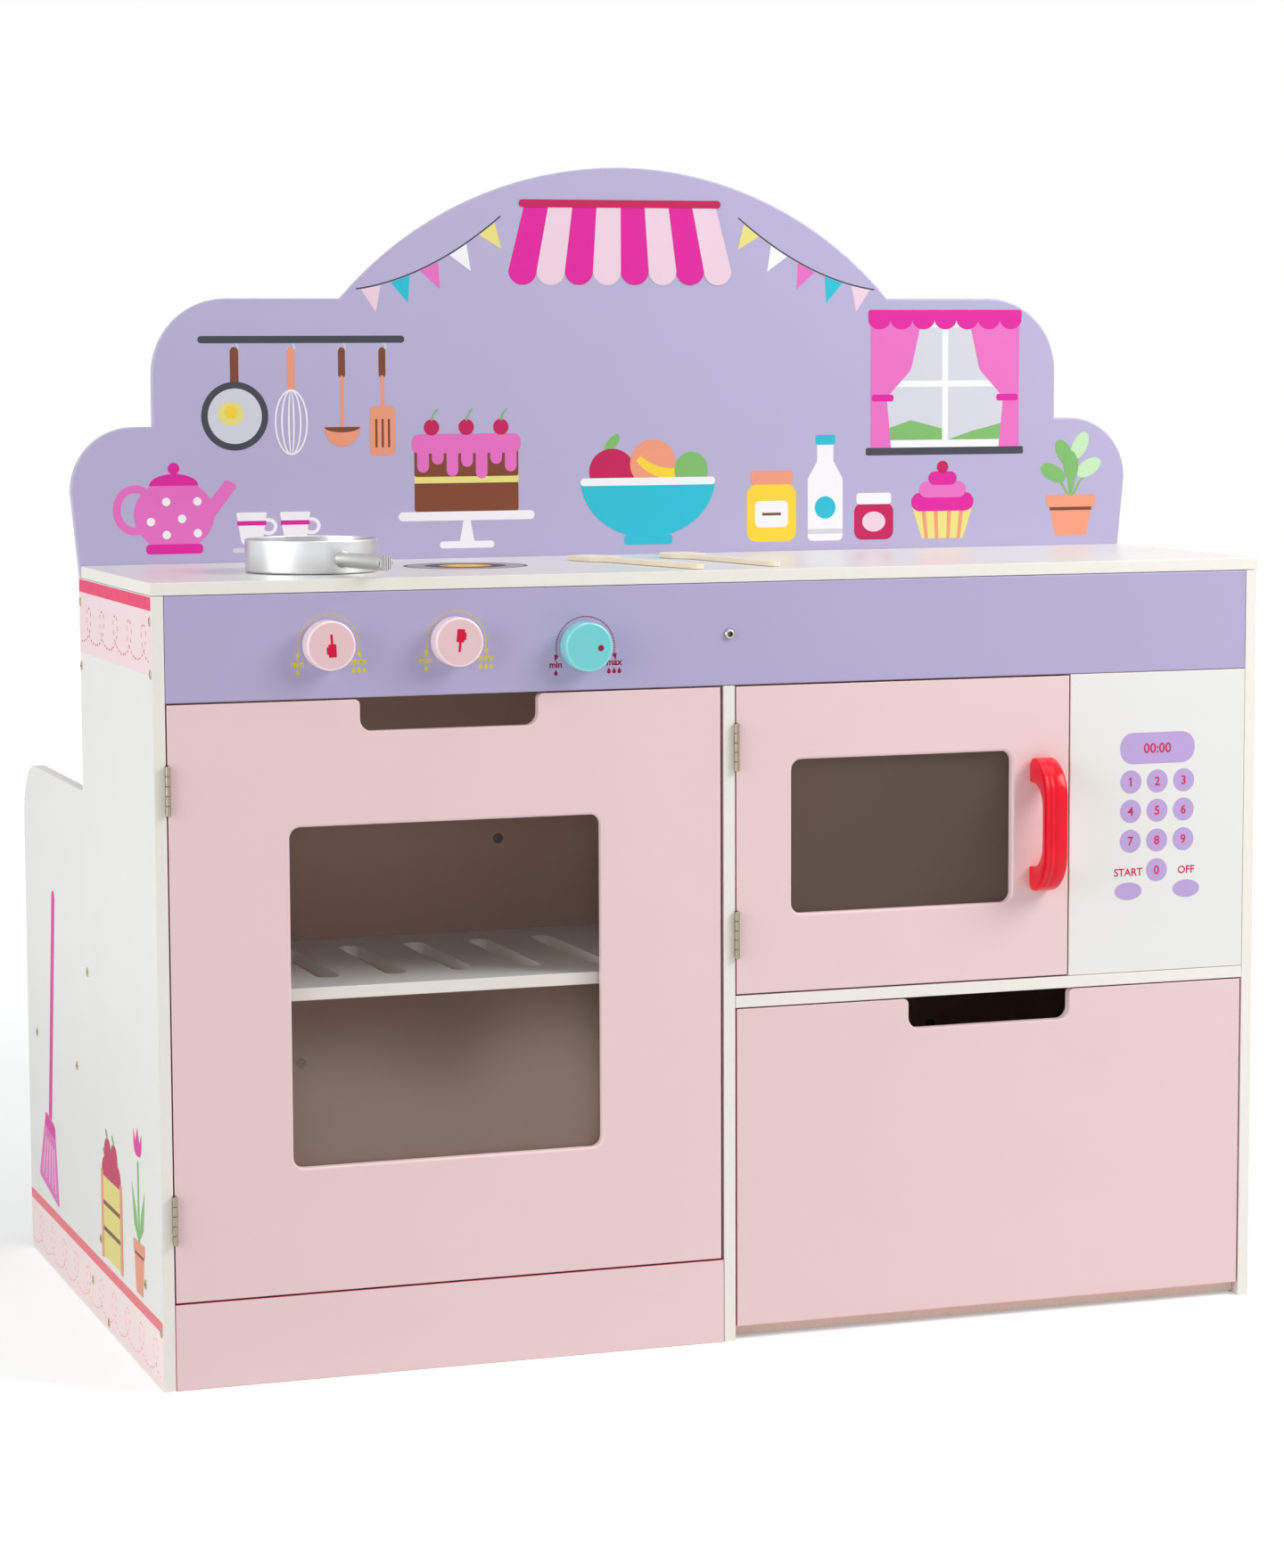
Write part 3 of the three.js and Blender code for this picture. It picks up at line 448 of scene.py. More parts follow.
def ink(name):
    """Screen printed ink: flat opaque colour that stays strong at a glancing view because it is
    far less glossy than the lacquer, with the fine mesh mark of the screen drawn 1 mm wide.
    Each colour is made once."""
    title = "screen_printed_ink_" + name
    if title in bpy.data.materials:
        return bpy.data.materials[title]
    made, tree, place = blank(title)
    tint = getattr(bpy.context.scene.toy_kitchen_prints, name)
    return finished(made, {
        "Base Color": mottle(tree, place, tint, 14, 0.02),
        "Roughness": uneven(tree, place, 10, 0.42, 0.52),
        "IOR": 1.5,
        "Specular IOR Level": 0.2,
        "Normal": relief(tree, place, 1, 0.004),
    })


def coat(name, material):
    """Puts a material on a CAD node."""
    for slot in frame["nodes"][name].material_slots:
        slot.material = material


# Shapes


def piece_from(name, mesh_data, body, materials, stands_for=(), sharp=35):
    """Turns a bmesh into a piece that rides on a body."""
    bmesh.ops.recalc_face_normals(mesh_data, faces=mesh_data.faces)
    mesh = bpy.data.meshes.new(name)
    mesh_data.to_mesh(mesh)
    mesh_data.free()
    for material in materials:
        mesh.materials.append(material)
    mesh.polygons.foreach_set("use_smooth", [True] * len(mesh.polygons))
    mesh.set_sharp_from_angle(angle=math.radians(sharp))
    piece = bpy.data.objects.new(name, mesh)
    bpy.context.scene.collection.objects.link(piece)
    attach(piece, body)
    if stands_for:
        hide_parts(*stands_for)
    return piece


def stand_in(name, mesh_data, materials, sharp=35):
    """Turns a bmesh into the piece that takes the place of a CAD node."""
    title, body = name + "_piece", body_under(name)
    return piece_from(title, mesh_data, body, materials, [name], sharp)


def lay(place, points, height):
    """Flat points, raised by a height in mm, at a place that is a matrix in metres."""
    return [place @ (Vector((x, y, height)) * MM) for x, y in points]


def skin(mesh_data, rows, loop=False):
    """A closed skin over rows of points. A row of one point is a pole; with loop, the last row
    joins the first. Rows at the ends that aren't poles are closed with a face."""
    made = [[mesh_data.verts.new(point) for point in row] for row in rows]
    faces = []
    for low, high in zip(made, made[1:] + made[:1] if loop else made[1:]):
        count = max(len(low), len(high))
        for i in range(count):
            j = (i + 1) % count
            sides = ((low, i), (low, j), (high, j), (high, i))
            corners = dict.fromkeys(row[k % len(row)] for row, k in sides)
            faces.append(mesh_data.faces.new(list(corners)))
    for row in () if loop else (made[0], made[-1]):
        if len(row) > 2:
            faces.append(mesh_data.faces.new(row))
    return faces


def eased_board(name, width, finish, opening=None, outer=None):
    """Remakes a board from its CAD node with a rounding round its two broad faces, as sanding
    and lacquer leave. Opening is the rounding at the front of its holes, if it is another, and
    outer the finish of its four outer edges, if that is another."""
    source = frame["nodes"][name].data
    mesh_data = bmesh.new()
    corners = [mesh_data.verts.new(vertex.co) for vertex in source.vertices]
    for polygon in source.polygons:
        mesh_data.faces.new([corners[i] for i in polygon.vertices])
    bmesh.ops.remove_doubles(mesh_data, verts=mesh_data.verts, dist=WELD)
    low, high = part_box(name)
    thin = min(range(3), key=lambda axis: high[axis] - low[axis])
    wide = [axis for axis in range(3) if axis != thin]
    step = Vector([float(axis == thin) for axis in range(3)])

    def lies_on(face, axis, level):
        return all(abs(vertex.co[axis] - level) < FLAT for vertex in face.verts)

    for level, inward, holes in ((low[thin], step, opening), (high[thin], -step, None)):
        broad = [face for face in mesh_data.faces if lies_on(face, thin, level)]
        rims = rims_of(broad)
        bmesh.ops.delete(mesh_data, geom=broad, context="FACES")
        inner = []
        for rim in rims:
            size = width if holes is None or rim is rims[0] else holes
            inner.append(round_rim(mesh_data, rim, inward, size))
        flat = [[Vector([v.co[axis] for axis in wide]).to_3d() for v in ring] for ring in inner]
        corners = [vertex for ring in inner for vertex in ring]
        for triangle in tessellate_polygon(flat):
            mesh_data.faces.new([corners[i] for i in triangle])
    if outer:
        for face in mesh_data.faces:
            for axis in wide:
                if lies_on(face, axis, low[axis]) or lies_on(face, axis, high[axis]):
                    face.material_index = 1
    finishes = [finish, outer] if outer else [finish]
    return stand_in(name, mesh_data, finishes, sharp=12)


def rims_of(broad):
    """The closed rims of coplanar faces, as rings of vertices, the longest first."""
    follow, known = {}, set(broad)
    for face in broad:
        for loop in face.loops:
            if loop.link_loop_radial_next.face not in known:
                follow[loop.vert] = loop.link_loop_next.vert
    rims = []
    while follow:
        first, onward = follow.popitem()
        rim = [first]
        while onward is not first:
            rim.append(onward)
            onward = follow.pop(onward)
        rims.append(rim)

    def around(rim):
        return sum((vertex.co - rim[i - 1].co).length for i, vertex in enumerate(rim))

    return sorted(rims, key=around, reverse=True)


def round_rim(mesh_data, rim, inward, width):
    """Rounds one rim of a broad face over a quarter turn and gives the new rim of the face."""
    starts = [vertex.co.copy() for vertex in rim]
    shifts = []
    for i, here in enumerate(starts):
        ways = (here - starts[i - 1], starts[(i + 1) % len(starts)] - here)
        one, other = [-inward.cross(way.normalized()) for way in ways]
        shifts.append((one + other) / (1 + one.dot(other)) * width)
    outer = rim
    for vertex in rim:
        vertex.co += inward * width
    for k in range(1, EDGE_STEPS + 1):
        angle = math.pi / 2 * k / EDGE_STEPS
        aside, down = 1 - math.cos(angle), inward * width * (1 - math.sin(angle))
        ring = [
            mesh_data.verts.new(start + shift * aside + down)
            for start, shift in zip(starts, shifts)
        ]
        for i, corner in enumerate(ring):
            mesh_data.faces.new((outer[i - 1], outer[i], corner, ring[i - 1]))
        outer = ring
    return outer


def arc(centre, radii, start, turn, steps):
    """Points on part of an ellipse. Angles are in degrees."""
    angles = [math.radians(start + turn * i / steps) for i in range(steps + 1)]
    return [
        (centre[0] + radii[0] * math.cos(angle), centre[1] + radii[1] * math.sin(angle))
        for angle in angles
    ]


def oval(x, y, across, up=None, steps=32):
    """A ring round an ellipse with those half sizes."""
    return arc((x, y), (across, up or across), 0, 360, steps)[:-1]


def half(x, y, across, down, steps=20):
    """The lower half of an ellipse, or the upper half where down is negative."""
    return arc((x, y), (across, -down), 0, 180, steps)


def ring_row(place, radius, height, sides=SCREW_SIDES):
    """A ring of a turned form, or a pole where the radius is 0."""
    return lay(place, oval(0, 0, radius, steps=sides) if radius else [(0, 0)], height)


def turned(mesh_data, profile, place, sides=48, loop=False):
    """A turned form: its profile is pairs of radius and height in mm, its axis the z axis of
    place, a matrix in metres."""
    return skin(mesh_data, [ring_row(place, r, h, sides) for r, h in profile], loop)


def eased(corners, steps=5):
    """A polygon with rounded corners. A corner is x, y and a radius, or x and y if sharp."""
    points = []
    for i, corner in enumerate(corners):
        here = Vector(corner[:2])
        if len(corner) < 3 or corner[2] == 0:
            points.append(tuple(here))
            continue
        radius = corner[2]
        back = (Vector(corners[i - 1][:2]) - here).normalized()
        on = (Vector(corners[(i + 1) % len(corners)][:2]) - here).normalized()
        opening = back.angle(on) / 2
        centre = here + (back + on).normalized() * radius / math.sin(opening)
        first = here + back * radius / math.tan(opening) - centre
        last = here + on * radius / math.tan(opening) - centre
        start = math.degrees(math.atan2(first.y, first.x))
        sweep = (math.degrees(math.atan2(last.y, last.x)) - start + 180) % 360 - 180
        points += arc(centre, (radius, radius), start, sweep, steps)
    return points


def panel(left, low, right, high, radius=0.0):
    """A rectangle with equal corners."""
    corners = ((left, low), (right, low), (right, high), (left, high))
    return eased([(x, y, radius) for x, y in corners])


def stroke(points, width):
    """A band of even width along a path."""
    near, far = [], []
    for i, point in enumerate(points):
        way = Vector(points[min(i + 1, len(points) - 1)]) - Vector(points[max(i - 1, 0)])
        way.normalize()
        square = Vector((-way.y, way.x)) * width / 2
        near.append(tuple(Vector(point) + square))
        far.append(tuple(Vector(point) - square))
    return near + far[::-1]


def bar(start, end, width):
    """A straight bar with round ends."""
    along = Vector(end) - Vector(start)
    angle = math.degrees(math.atan2(along.y, along.x))
    size = (width / 2, width / 2)
    return arc(end, size, angle - 90, 180, 8) + arc(start, size, angle + 90, 180, 8)


def spun(points, degrees, centre=(0, 0)):
    """The points, turned about a centre."""
    cos, sin = math.cos(math.radians(degrees)), math.sin(math.radians(degrees))
    arms = [(x - centre[0], y - centre[1]) for x, y in points]
    return [(centre[0] + x * cos - y * sin, centre[1] + x * sin + y * cos) for x, y in arms]


def shifted(points, across, up):
    """The points, moved."""
    return [(across + x, up + y) for x, y in points]


def flat_mesh(rings):
    """Points and triangles that fill a ring, less the rings after it."""
    filled = tessellate_polygon([[Vector((x, y, 0.0)) for x, y in ring] for ring in rings])
    return [point for ring in rings for point in ring], [list(triangle) for triangle in filled]


def lettering(text, middle, base, height, weight):
    """Points and faces of a line of plain letters, set about a middle, in mm."""
    curve = bpy.data.curves.new("lettering", "FONT")
    curve.body = text
    curve.align_x = "CENTER"
    curve.resolution_u = 3
    curve.offset = weight
    words = bpy.data.objects.new("lettering", curve)
    bpy.context.scene.collection.objects.link(words)
    mesh = words.evaluated_get(bpy.context.evaluated_depsgraph_get()).to_mesh()
    places = [vertex.co.copy() for vertex in mesh.vertices]
    low = min(place.y for place in places)
    size = height / (max(place.y for place in places) - low)
    points = [(middle + place.x * size, base + (place.y - low) * size) for place in places]
    faces = [list(face.vertices) for face in mesh.polygons]
    bpy.data.objects.remove(words)
    bpy.data.curves.remove(curve)
    return points, faces


def slab(mesh_data, flat, top, place, ink_index=0):
    """A closed slab over flat points and faces, from the surface up to a height in mm."""
    points, faces = flat
    corners, made, rim = {}, [], set()

    def corner(index, height):
        key = (index, height)
        if key not in corners:
            corners[key] = mesh_data.verts.new(lay(place, [points[index]], height)[0])
        return corners[key]

    for face in faces:
        pairs = list(zip(face, face[1:] + face[:1]))
        area = sum(points[a][0] * points[b][1] - points[b][0] * points[a][1] for a, b in pairs)
        if abs(area) < TINY:
            continue
        if area < 0:
            face = face[::-1]
        made.append(mesh_data.faces.new([corner(i, top) for i in face]))
        made.append(mesh_data.faces.new([corner(i, 0.0) for i in reversed(face)]))
        for a, b in zip(face, face[1:] + face[:1]):
            if (b, a) in rim:
                rim.remove((b, a))
            else:
                rim.add((a, b))
    for a, b in sorted(rim):
        sides = (corner(a, 0.0), corner(b, 0.0), corner(b, top), corner(a, top))
        made.append(mesh_data.faces.new(sides))
    for one in made:
        one.material_index = ink_index


def surface(origin, across, up):
    """The matrix of a board's face: its own x runs across, its y up, its z out of the board."""
    across, up = Vector(across), Vector(up)
    matrix = Matrix((across, up, across.cross(up))).transposed().to_4x4()
    matrix.translation = origin
    return matrix


def front_of(name):
    """The front face of a CAD node, measured across and up from the cabinet's corner."""
    return surface((CORNER.x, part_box(name)[0].y, 0), RIGHT, UP)


def toward(origin, axis):
    """A matrix at a place whose z axis points along a direction."""
    matrix = Vector(axis).to_track_quat("Z", "Y").to_matrix().to_4x4()
    matrix.translation = origin
    return matrix


def inked(colour_name, *rings):
    """Shapes of one ink, each of one ring, for a print."""
    return [(colour_name, [ring]) for ring in rings]


def printed(name, place, shapes, body="cabinet"):
    """A print of several inks on one face. Shapes are pairs of an ink and its rings or
    lettering, from the first to be printed to the last, and overlapping ones stack."""
    settings = bpy.context.scene.toy_kitchen_prints
    names = sorted({colour_name for colour_name, _ in shapes})
    mesh_data = bmesh.new()
    laid = []
    for colour_name, form in shapes:
        flat = form if isinstance(form, tuple) else flat_mesh(form)
        xs, ys = zip(*flat[0])
        left, low, right, high = min(xs), min(ys), max(xs), max(ys)
        under = [
            level for (x0, y0, x1, y1), level in laid
            if left <= x1 and right >= x0 and low <= y1 and high >= y0
        ]
        level = max(under, default=-1) + 1
        laid.append(((left, low, right, high), level))
        top = (settings.film + level * settings.overprint) / MM
        slab(mesh_data, flat, top, place, names.index(colour_name))
    piece_from(name, mesh_data, body, [ink(colour_name) for colour_name in names])


def recess_outline(kind, size):
    """The outline of a screw's recess, with a point for each of the screw's sides."""
    points = []
    if kind == "hex":
        for angle in (2 * math.pi * i / SCREW_SIDES for i in range(SCREW_SIDES)):
            fold = (angle + math.pi / 6) % (math.pi / 3) - math.pi / 6
            reach = size * math.cos(math.pi / 6) / math.cos(fold)
            points.append((reach * math.cos(angle), reach * math.sin(angle)))
        return points
    arm, elbow = size * 0.24, size * 0.6
    quarter = [(size, 0.0), (size, arm), (elbow, arm), (arm, arm), (arm, elbow), (arm, size)]
    for turn in range(4):
        points += spun(quarter, 90 * turn)
    return points


def screw_form(mesh_data, place, head, dome, recess, size, shank=None, reach=0.0, recess_shade_ink=1):
    """A screw with a domed head and a hex or cross recess, all in mm. Its head stands on the
    place's plane and its shank runs the other way."""
    # The recess's floor, the flat crown round the recess and the head's upright rim
    floor, crown, rim = dome * 0.1, size * 1.25, dome * 0.25
    outline = recess_outline(recess, size)
    rings = [(0, -reach)]
    if shank:
        rings += [(shank * 0.75, -reach), (shank, shank - reach), (shank, 0.0)]
    rings += [(head, 0.0), (head, rim)]
    for share in (0.35, 0.65):
        height = rim + (dome - rim) * math.sin(share * math.pi / 2)
        rings.append((head + (crown - head) * share, height))
    rows = [ring_row(place, radius, height) for radius, height in [*rings, (crown, dome)]]
    foot = [(x * 0.8, y * 0.8) for x, y in outline]
    rows += [lay(place, outline, dome), lay(place, foot, floor), ring_row(place, 0, floor)]
    # The recess takes its own slot; a dark material there paints the shade in the hole.
    for face in skin(mesh_data, rows)[-2 * SCREW_SIDES:]:
        face.material_index = recess_shade_ink


# Operators


class PaintBoards(bpy.types.Operator):
    """Lacquers the boards, leaves the base board raw and eases the edges"""

    bl_idname = "toy_kitchen.paint_boards"
    bl_label = "Paint boards"

    # The finish, the settings of its colour, of its narrow edges and of the rounding, the
    # slot, the direction in which the boards are thin, and the boards
    whites = ("white", "sealed_edge", "white_round", "white_paint")
    doors = ("door_pink", "door_edge", "door_round", "pink_paint")
    boards = (
        ("white_lacquer_on_upright_board", *whites, RIGHT,
         "side_panel_left side_panel_right divider drawer_side_left drawer_side_right"),
        ("white_lacquer_on_front_board", *whites, BACK, "keypad_panel drawer_back"),
        ("white_lacquer_on_flat_board", *whites, UP,
         "worktop oven_floor microwave_floor oven_rack seat_board drawer_bottom"),
        ("lilac_lacquer_on_backboard", "backboard", None, "lilac_round", "backboard_paint", BACK,
         "backboard"),
        ("lilac_lacquer_on_fascia", "fascia", None, "lilac_round", "lavender_paint", BACK,
         "control_fascia"),
        ("pink_lacquer_on_doors", *doors, BACK, "oven_door microwave_door"),
        ("pink_lacquer_on_plinth", "door_pink", "rose_edge", *doors[2:], BACK, "plinth"),
        ("pink_lacquer_on_drawer", "drawer_pink", *doors[1:], BACK, "drawer_front"),
    )

    def execute(self, context):
        settings = context.scene.toy_kitchen_boards
        # The outer edges of the doors and the drawer front get a darker pink, painted shade for the
        # gaps.
        deep = sprayed_lacquer("sprayed_pink_lacquer_on_outer_edges", settings.deep_edge)
        for title, tint, edge, rounding, slot, thin, names in self.boards:
            edge_seal_and_light = getattr(settings, edge) if edge else None
            finish = sprayed_lacquer("sprayed_" + title, getattr(settings, tint), edge_seal_and_light, thin)
            for name in names.split():
                opening = settings.window_round if "door" in name else None
                outer = deep if "door" in name or name == "drawer_front" else None
                eased_board(name, getattr(settings, rounding), finish, opening, outer)
        back = pressed_hardboard("pressed_hardboard", settings.hardboard, settings.white)
        eased_board("lower_back_board", settings.white_round, back)
        # The base board's colour carries a painted reflection of the floor over its bare tan.
        raw = sawn_fibreboard("sawn_fibreboard", settings.raw_edge)
        eased_board("base_board", settings.white_round / 2, raw)
        return {"FINISHED"}


class GlazeDoors(bpy.types.Operator):
    """Puts clear acrylic in the two door windows"""

    bl_idname = "toy_kitchen.glaze_doors"
    bl_label = "Glaze doors"

    # How much the film, a painted reflection of the floor, hides at the bottom and at the top of
    # each window
    films = {"oven_window": (0.24, 0.03), "microwave_window": (0.085, 0.085)}

    def execute(self, context):
        dust = context.scene.toy_kitchen_fittings.dust
        for name, film in self.films.items():
            title = "extruded_clear_acrylic_" + name
            low, high = extent(name)
            coat(name, extruded_acrylic(title, dust, low.z, high.z, *film))
        return {"FINISHED"}


class FitCatches(bpy.types.Operator):
    """Finishes the magnetic catches, the strike plates, the glides and the hidden screws"""

    bl_idname = "toy_kitchen.fit_catches"
    bl_label = "Fit catches"

    catch_round = 0.5
    plate_round = 0.2

    def execute(self, context):
        # Nylon moulds with a duller skin than the knobs' ABS.
        white = context.scene.toy_kitchen_boards.white
        nylon = moulded_plastic("moulded_white_nylon", white, (0.35, 0.5))
        for name in ("oven_catch", "microwave_catch", "drawer_glide_left", "drawer_glide_right"):
            eased_board(name, self.catch_round * MM, nylon)
        # Pressed from sheet and dipped in zinc: grey, with broad soft marks.
        zinc = context.scene.toy_kitchen_fittings.zinc
        steel = metal("pressed_zinc_steel", zinc, scratch=3, height=0.006)
        for name in ("oven_strike_plate", "microwave_strike_plate"):
            eased_board(name, self.plate_round * MM, steel)
        for name in ("handle_screw_lower", "handle_screw_upper", "knob_left_screw",
                     "knob_middle_screw", "knob_right_screw"):
            coat(name, steel)
        return {"FINISHED"}


class FitHinges(bpy.types.Operator):
    """Makes the four butt hinges with rolled knuckles, leaves and a headed pin"""

    bl_idname = "toy_kitchen.fit_hinges"
    bl_label = "Fit hinges"

    knuckles = 5
    leaf = 0.8
    play = 0.3
    bore = 1.1
    chamfer = 0.25
    corner = 1.2
    # How far the web that joins a knuckle to its leaf runs out from the bore and past the
    # knuckle
    web_start, web_end = 0.3, 0.6
    # The screws: where they sit along a leaf, how high they stand, and the radius of their
    # heads in a wide leaf and in a narrow one
    screw_shares = (0.2, 0.5, 0.8)
    screw_dome = 0.1
    heads = (2.4, 1.5)

    def execute(self, context):
        # Rolled from strip and tumbled in the plating barrel: a soft shine, with faint marks
        # that run up the leaves.
        plated = "barrel_plated_nickel_on_steel"
        tint = context.scene.toy_kitchen_fittings.nickel
        nickel = [metal(plated, tint, (0.24, 0.38), scratch=1.2, stretch=(1, 1, 4))]
        for door in ("oven", "microwave"):
            for level in ("upper", "lower"):
                self.fit(door + "_hinge_" + level, nickel)
        return {"FINISHED"}

    def fit(self, name, nickel):
        pin_low, pin_high = extent(name + "_pin")
        axis = (pin_low + pin_high) / 2
        low, high = extent(name + "_frame_leaf")
        radius = (high.x - low.x) / 2
        for first, side, part in ((0, -1, "_frame_leaf"), (1, 1, "_door_leaf")):
            reach = extent(name + part)[1].y - axis.y
            mesh_data = bmesh.new()
            self.add_leaf(mesh_data, axis, side, radius, reach, low.z, high.z, first)
            stand_in(name + part, mesh_data, nickel)
        mesh_data = bmesh.new()
        core, tall = (pin_high.x - pin_low.x) / 2, high.z - low.z
        profile = [(0, 0), (core * 0.7, 0), (core, core * 0.3)]
        profile += [(r, tall - h) for r, h in reversed(profile)]
        turned(mesh_data, profile, Matrix.Translation(spot(axis.x, axis.y, low.z)), 24)
        stand_in(name + "_pin", mesh_data, nickel)

    def add_leaf(self, mesh_data, axis, side, radius, reach, low, high, first):
        pitch = (high - low) / self.knuckles
        faces = (side * self.play / 2, side * (self.play / 2 + self.leaf))
        place = Matrix.Translation(spot(axis.x, axis.y, 0))
        cut = self.chamfer
        for i in range(first, self.knuckles, 2):
            base = low + i * pitch + (self.play / 2 if i > 0 else 0)
            top = low + (i + 1) * pitch - (self.play / 2 if i < self.knuckles - 1 else 0)
            upward = [(self.bore, base), (radius - cut, base), (radius, base + cut)]
            downward = [(radius, top - cut), (radius - cut, top), (self.bore, top)]
            turned(mesh_data, upward + downward, place, 28, loop=True)
            near, far = self.bore + self.web_start, radius + self.web_end
            self.add_plate(mesh_data, place, faces, near, far, base, top)
        start = radius + self.play
        self.add_plate(mesh_data, place, faces, start, reach, low, high, self.corner)
        head = self.heads[0] if reach - start > 2 * radius else self.heads[1]
        for share in self.screw_shares:
            middle = (faces[0], (start + reach) / 2, low + (high - low) * share)
            seat = toward(place @ (Vector(middle) * MM), (-side, 0, 0))
            size = (head, self.screw_dome, "cross", head * 0.6)
            screw_form(mesh_data, seat, *size, recess_shade_ink=0)

    def add_plate(self, mesh_data, place, faces, start, reach, low, high, corner=0.0):
        shape = eased([(start, low), (reach, low, corner), (reach, high, corner), (start, high)])
        skin(mesh_data, [[place @ (Vector((x, y, z)) * MM) for y, z in shape] for x in faces])


class FitHandle(bpy.types.Operator):
    """Makes the red bow handle of the microwave door, with two grooves along its front"""

    bl_idname = "toy_kitchen.fit_handle"
    bl_label = "Fit handle"

    # Height of a foot on the door, depth of the grip, radii of the bend outside and inside,
    # and width of the front's rounded edges
    foot = 19.0
    grip = 8.8
    outer = 30.0
    inner = 18.0
    edge = 2.6
    bend_steps = 14
    straight_steps = 8
    # The grooves run between these shares of the bow and fade in and out over these.
    groove_shares = (0.14, 0.9)
    fade_shares = (0.08, 0.1)

    def execute(self, context):
        settings = context.scene.toy_kitchen_fittings
        low, high = extent("microwave_handle")
        height, reach, back = high.z - low.z, -low.y, -high.y
        grip = reach - self.grip
        # The corner at the door is eased over about 3 mm, where the outer arc is still flat.
        outer_line = [(back, 3.6), (back + 1.1, 1.4), (back + 2.4, 0.5)]
        outer_line += arc((reach - self.outer, self.outer), (self.outer,) * 2, -84, 84, 40)
        inner_line = [(back, self.foot)]
        middle = (grip - self.inner, self.foot + self.inner)
        inner_line += arc(middle, (self.inner,) * 2, -90, 90, 40)
        rows = []
        stations = list(zip(self.bow(inner_line, height), self.bow(outer_line, height)))
        for i, (inside, outside) in enumerate(stations):
            share = i / (len(stations) - 1)
            start = (share - self.groove_shares[0]) / self.fade_shares[0]
            end = (self.groove_shares[1] - share) / self.fade_shares[1]
            groove = settings.groove / MM * min(1.0, max(0.0, start), max(0.0, end))
            section = self.section(Vector(inside), Vector(outside), high.x - low.x, groove)
            rows.append([spot(low.x + x, -point.x, low.z + point.y) for x, point in section])
        mesh_data = bmesh.new()
        skin(mesh_data, rows)
        # Moulded ABS in a strong red, glossy, with narrow highlights along its edges
        red = moulded_plastic("moulded_red_abs", settings.handle_red, (0.12, 0.2), 0.03, 0.2)
        stand_in("microwave_handle", mesh_data, [red], sharp=50)
        return {"FINISHED"}

    def bow(self, line, height):
        """Points along the whole bow: even steps along the bend, a straight part, and the bend
        again, upside down."""
        points, lengths = [], [0.0]
        for a, b in zip(line, line[1:]):
            lengths.append(lengths[-1] + (Vector(b) - Vector(a)).length)
        for k in range(self.bend_steps + 1):
            want = lengths[-1] * k / self.bend_steps
            i = max(j for j, value in enumerate(lengths) if value <= want + TINY)
            i = min(i, len(line) - 2)
            share = (want - lengths[i]) / (lengths[i + 1] - lengths[i])
            points.append(tuple(Vector(line[i]).lerp(Vector(line[i + 1]), share)))
        bend = points[::-1]
        y, z = bend[0]
        for k in range(1, self.straight_steps):
            points.append((y, z + (height - 2 * z) * k / self.straight_steps))
        return points + [(y, height - z) for y, z in bend]

    def section(self, inner, outer, width, groove):
        """One section of the handle: pairs of x and a point, out of the door and up, in mm."""
        along = (outer - inner).normalized()
        edge = self.edge
        # The front and then the rear, each with its depth under the bow's outer or inner line
        crown = [
            (0.0, edge), (0.25, 1.25), (0.7, 0.55), (1.3, 0.2 + groove * 0.1),
            (1.9, groove * 0.6), (2.9, groove), (3.9, groove * 0.75), (4.5, groove * 0.12),
            (4.9, 0.0), (5.3, groove * 0.12), (5.9, groove * 0.75), (7.2, groove),
            (8.5, groove * 0.7), (9.3, groove * 0.1), (10.2, 0.0), (13.0, 0.0),
            (width - edge, 0.12), (width - 1.3, 0.45), (width - 0.45, 1.2), (width, edge),
        ]
        rear = [
            (width, 1.2), (width - 0.35, 0.35), (width - 1.2, 0.0), (1.2, 0.0), (0.35, 0.35),
            (0.0, 1.2),
        ]
        points = [(x, outer - along * down) for x, down in crown]
        return points + [(x, inner + along * up) for x, up in rear]


